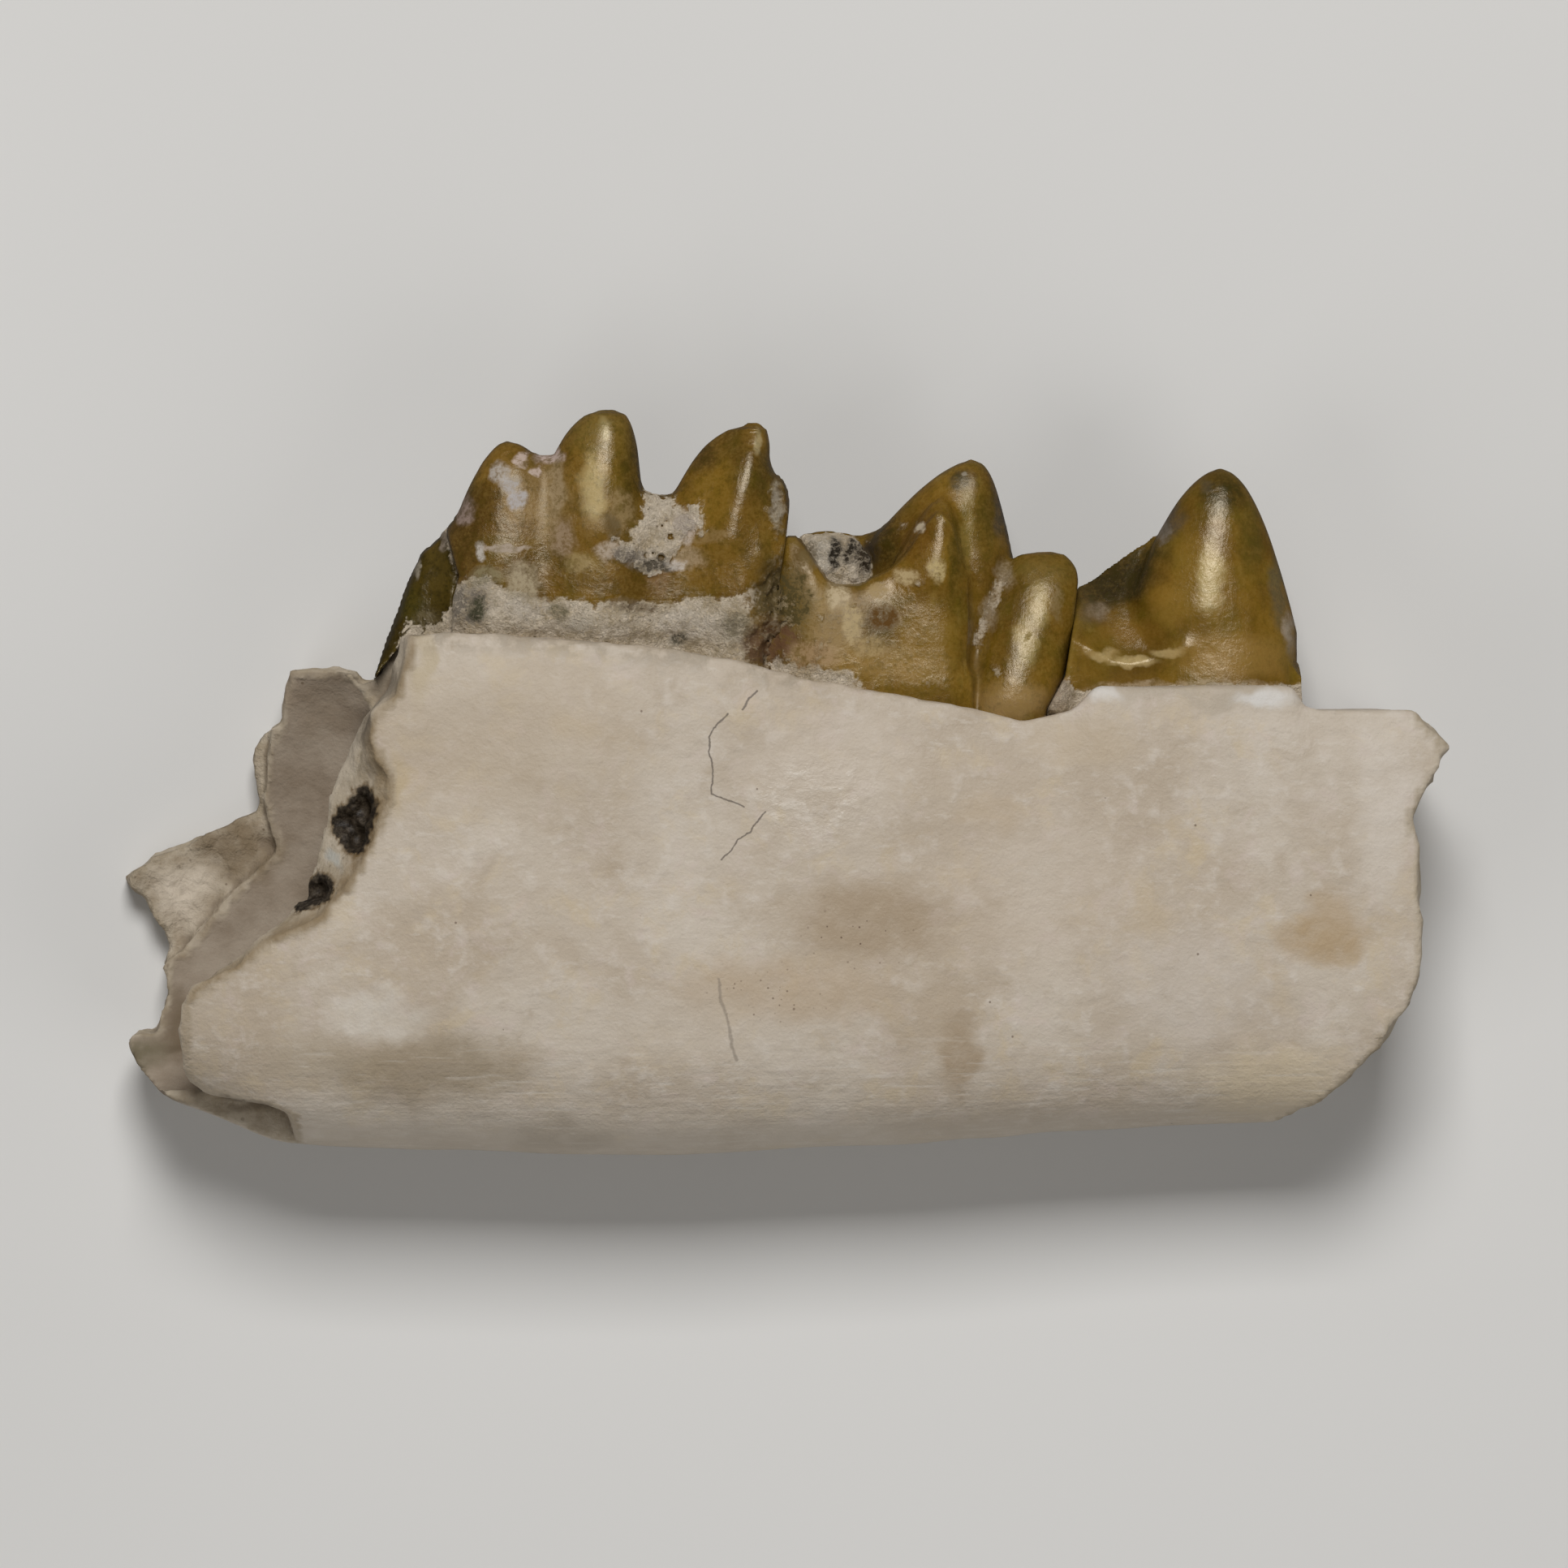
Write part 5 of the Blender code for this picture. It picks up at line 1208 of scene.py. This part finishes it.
FRONT_SHADES = [
    # Dark wing below the crest: partly dark olive enamel, partly painted shade where it faces
    # away.
    ((6.85, 4.2, 3.2), (0.8, 0.6, 1.8), (0.035, 0.026, 0.012), 0.95),
    ((7.5, 4.4, 3.2), (0.9, 0.75, 1.8), (0.02, 0.013, 0.002), 0.95),
    ((8.0, 4.9, 3.2), (0.7, 0.8, 1.8), (0.026, 0.018, 0.003), 0.95),
    ((8.45, 5.7, 3.0), (0.45, 0.6, 1.4), (0.06, 0.05, 0.042), 0.8),
    ((8.2, 4.4, 3.8), (0.5, 0.8, 1.2), (0.17, 0.085, 0.008), 0.7),
    ((7.4, 3.35, 4.0), (0.7, 0.45, 1.2), (0.19, 0.1, 0.012), 0.8),
    # Painted sheen: a greyish patch on the wing.
    ((6.75, 3.75, 3.8), (0.5, 0.45, 1.2), (0.12, 0.085, 0.05), 0.6),
    ((9.62, 6.3, 3.2), (0.75, 0.7, 1.6), (0.022, 0.017, 0.003), 0.95),
    ((9.25, 6.5, 3.0), (0.25, 0.3, 1.6), (0.09, 0.07, 0.045), 0.5),
    ((10.2, 5.4, 3.6), (0.35, 1.2, 1.6), (0.085, 0.058, 0.008), 0.8),
    ((10.8, 4.2, 3.4), (0.3, 1.2, 1.6), (0.1, 0.083, 0.05), 0.7),
    ((8.9, 4.6, 4.0), (0.5, 1.4, 1.4), (0.19, 0.105, 0.012), 0.8),
    ((7.7, 3.3, 4.2), (0.8, 0.4, 1.6), (0.15, 0.072, 0.007), 0.8),
    # Painted highlight along the ledge.
    ((6.93, 2.82, 4.2), (0.4, 0.16, 1.4), (0.5, 0.37, 0.17), 0.75),
    ((7.6, 2.67, 4.2), (0.7, 0.15, 1.4), (0.52, 0.39, 0.18), 0.8),
    ((8.4, 2.88, 4.2), (0.5, 0.16, 1.4), (0.5, 0.37, 0.17), 0.75),
    ((9.9, 2.75, 4.2), (1.9, 0.7, 1.4), (0.26, 0.15, 0.035), 0.8),
    # Painted highlight along the cusp's rib.
    ((9.3, 4.5, 4.2), (0.42, 1.0, 1.4), (0.44, 0.34, 0.14), 0.75),
    ((11.05, 3.2, 3.2), (0.25, 0.7, 1.2), (0.26, 0.22, 0.17), 0.7),
    # More of the wing's dark: partly dark olive enamel, partly painted shade where it faces away.
    ((7.4, 4.55, 3.0), (1.3, 0.75, 1.6), (0.018, 0.012, 0.003), 0.9),
    ((8.45, 3.85, 4.0), (0.5, 0.7, 1.4), (0.24, 0.135, 0.02), 0.7),
]
FRONT_FILM = [
    ((6.6, 3.7, 3.6), (0.5, 0.4, 1.6), 0.2),
]
FRONT_DIRT_AND_SHEEN = [
    ((8.3, 5.6, 3.0), (0.25, 0.5, 1.4), (0.17, 0.15, 0.13), 0.6),
    # Painted sheen: a grey patch on the wing.
    ((6.85, 3.8, 3.8), (0.35, 0.3, 1.2), (0.22, 0.17, 0.12), 0.4),
    ((11.0, 3.4, 3.2), (0.2, 0.5, 1.2), (0.3, 0.25, 0.2), 0.5),
    ((5.9, 2.0, 4.0), (0.5, 0.5, 1.6), (0.36, 0.26, 0.18), 0.7),
    ((8.8, 2.1, 4.0), (2.6, 0.18, 1.8), (0.4, 0.31, 0.2), 0.5),
]
front.data.materials.append(enamel(
    "front_premolar_enamel", body=PREMOLAR_BODY, deep=(0.105, 0.053, 0.004), pale=PREMOLAR_PALE,
    shades=FRONT_SHADES, film=FRONT_FILM, dirt_and_highlights=FRONT_DIRT_AND_SHEEN, worn=0.35))

# The broken rear molar: only a slanting splinter of dark olive enamel is left of it, with a
# thin white seam of sediment where it touches the three-cusped molar.
SPLINTER_LOW = (-9.1, 1.4, 1.0)
SPLINTER_HIGH = (-6.9, 6.1, 4.5)
SPLINTER_BASE = 2.2
SPLINTER_CREST = [
    (-8.95, 2.2, 2.6), (-8.86, 2.4, 2.6), (-8.7, 2.95, 2.6), (-8.45, 3.6, 2.65), (-8.2, 4.3, 2.7),
    (-8.0, 4.72, 2.7), (-7.85, 5.04, 2.7), (-7.6, 5.22, 2.7), (-7.42, 5.4, 2.75),
    (-7.3, 5.65, 2.8), (-7.15, 5.9, 2.9), (-7.0, 6.0, 2.9),
]
SPLINTER_BED = [(-9.6, 1.4), (-8.88, 2.28), (-8.15, 3.2), (-6.0, 3.2)]

x, y, z = block(SPLINTER_LOW, SPLINTER_HIGH, TOOTH_GRAIN)
tooth = ridge(x, y, z, SPLINTER_CREST, SPLINTER_BASE, tongue=1.3, cheek=1.2, power=0.2)
tooth = evened(tooth)
tooth = tooth + 0.04 * grain(x, y, z, 0.7, 71) + 0.02 * rough(x, y, z, 0.3, 72)
bed = along(x, SPLINTER_BED)
tooth = np.maximum(tooth, 0.8 * (bed - y))
crumbs = rough(x, y, z, 0.2, 73)
seam = ramp(x - across(y, FRAGMENT_LINE) + 0.1 + 0.08 * crumbs, -0.02, 0.04)
seam = 0.6 * seam * ramp(y, 4.2, 4.5)
crust = np.maximum(seam, ramp(bed + 0.5 + 0.3 * crumbs + 0.5 * (x + 7.6) - y, 0.0, 0.2))
tooth = trimmed(tooth + 0.03 * crumbs * crust, x, y, FRAGMENT_LINE, -1.0)
splinter = tooth_piece("broken_rear_molar_enamel", tooth, SPLINTER_LOW, crust)
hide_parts("broken_rear_molar")

SPLINTER_SHADES = [
    ((-7.5, 4.6, 3.8), (0.35, 0.8, 1.2), (0.075, 0.048, 0.008), 0.8),
    ((-8.1, 3.9, 3.8), (0.4, 0.7, 1.2), (0.05, 0.04, 0.004), 0.7),
    ((-7.7, 5.2, 3.4), (0.4, 0.3, 1.2), (0.11, 0.065, 0.012), 0.6),
]
SPLINTER_DIRT = [
    ((-7.95, 4.7, 3.8), (0.1, 0.35, 1.2), (0.3, 0.26, 0.2), 0.7),
    ((-7.7, 3.5, 3.9), (0.45, 0.4, 1.2), (0.11, 0.08, 0.03), 0.3),
    ((-7.35, 5.4, 3.6), (0.12, 0.4, 1.2), (0.26, 0.21, 0.17), 0.6),
]
splinter.data.materials.append(enamel(
    "dark_enamel", body=(0.055, 0.034, 0.003), deep=(0.028, 0.017, 0.001),
    pale=(0.10, 0.068, 0.01), shades=SPLINTER_SHADES, film=[], dirt_and_highlights=SPLINTER_DIRT,
    worn=0.8, gloss=0.22))

# The stage: a pale floor under the fossil, a soft key light beside the camera with a weaker
# one from either end of the jaw, and the camera straight above, as the fossil lies down here.
VIEW_MIDDLE = (0.044, 0.0, 3.0)  # what the camera looks at, in millimetres
VIEW_WIDTH = 34.2                # width seen at that height
VIEW_HEIGHT = 250.0
SENSOR = 36.0
FLOOR_REACH = 0.6
JAW_MIDDLE = Vector((0.0, 0.0, 0.003))


def add_object(name, data):
    obj = bpy.data.objects.new(name, data)
    bpy.context.scene.collection.objects.link(obj)
    return obj


def floor_finish():
    """Matt pale grey, a little uneven."""
    material, shader, place = start_finish("floor_finish")
    tone = mottle(place, 0.02, 2.0).ramp(0.3, 0.7)
    connect(shader, {"Base Color": tone.blend((0.62, 0.61, 0.59), (0.66, 0.65, 0.63)),
                     "Roughness": 0.9})
    return material


def soft_light(name, place, size, power):
    """A square lamp that faces the jaw."""
    lamp = bpy.data.lights.new(name, 'AREA')
    lamp.energy = power
    lamp.size = size
    obj = add_object(name, lamp)
    obj.location = place
    obj.rotation_euler = (JAW_MIDDLE - Vector(place)).to_track_quat('-Z', 'Y').to_euler()
    return obj


sides = ((-1.0, -1.0), (1.0, -1.0), (1.0, 1.0), (-1.0, 1.0))
floor_mesh = bpy.data.meshes.new("floor")
floor_mesh.from_pydata([(u * FLOOR_REACH, v * FLOOR_REACH, 0.0) for u, v in sides], [],
                       [(0, 1, 2, 3)])
floor = add_object("floor", floor_mesh)
floor.data.materials.append(floor_finish())
floor.visible_glossy = False

soft_light("key_light", (0.0, 0.145, 0.215), size=0.10, power=0.56)
for name, side in (("front_fill", 0.15), ("hind_fill", -0.15)):
    soft_light(name, (side, -0.12, 0.14), size=0.14, power=0.10).visible_glossy = False

world = bpy.data.worlds.new("room")
bpy.context.scene.world = world
world.use_nodes = True
connect(world.node_tree.nodes["Background"],
        {"Color": (1.0, 0.97, 0.93, 1.0), "Strength": 0.08})

lens = bpy.data.cameras.new("camera")
lens.sensor_width = SENSOR
lens.lens = SENSOR * VIEW_HEIGHT / VIEW_WIDTH
lens.clip_start = 0.01
camera = add_object("camera", lens)
camera.location = (Vector(VIEW_MIDDLE) + Vector((0.0, 0.0, VIEW_HEIGHT))) * MM
bpy.context.scene.camera = camera
bpy.context.scene.view_settings.view_transform = 'Standard'
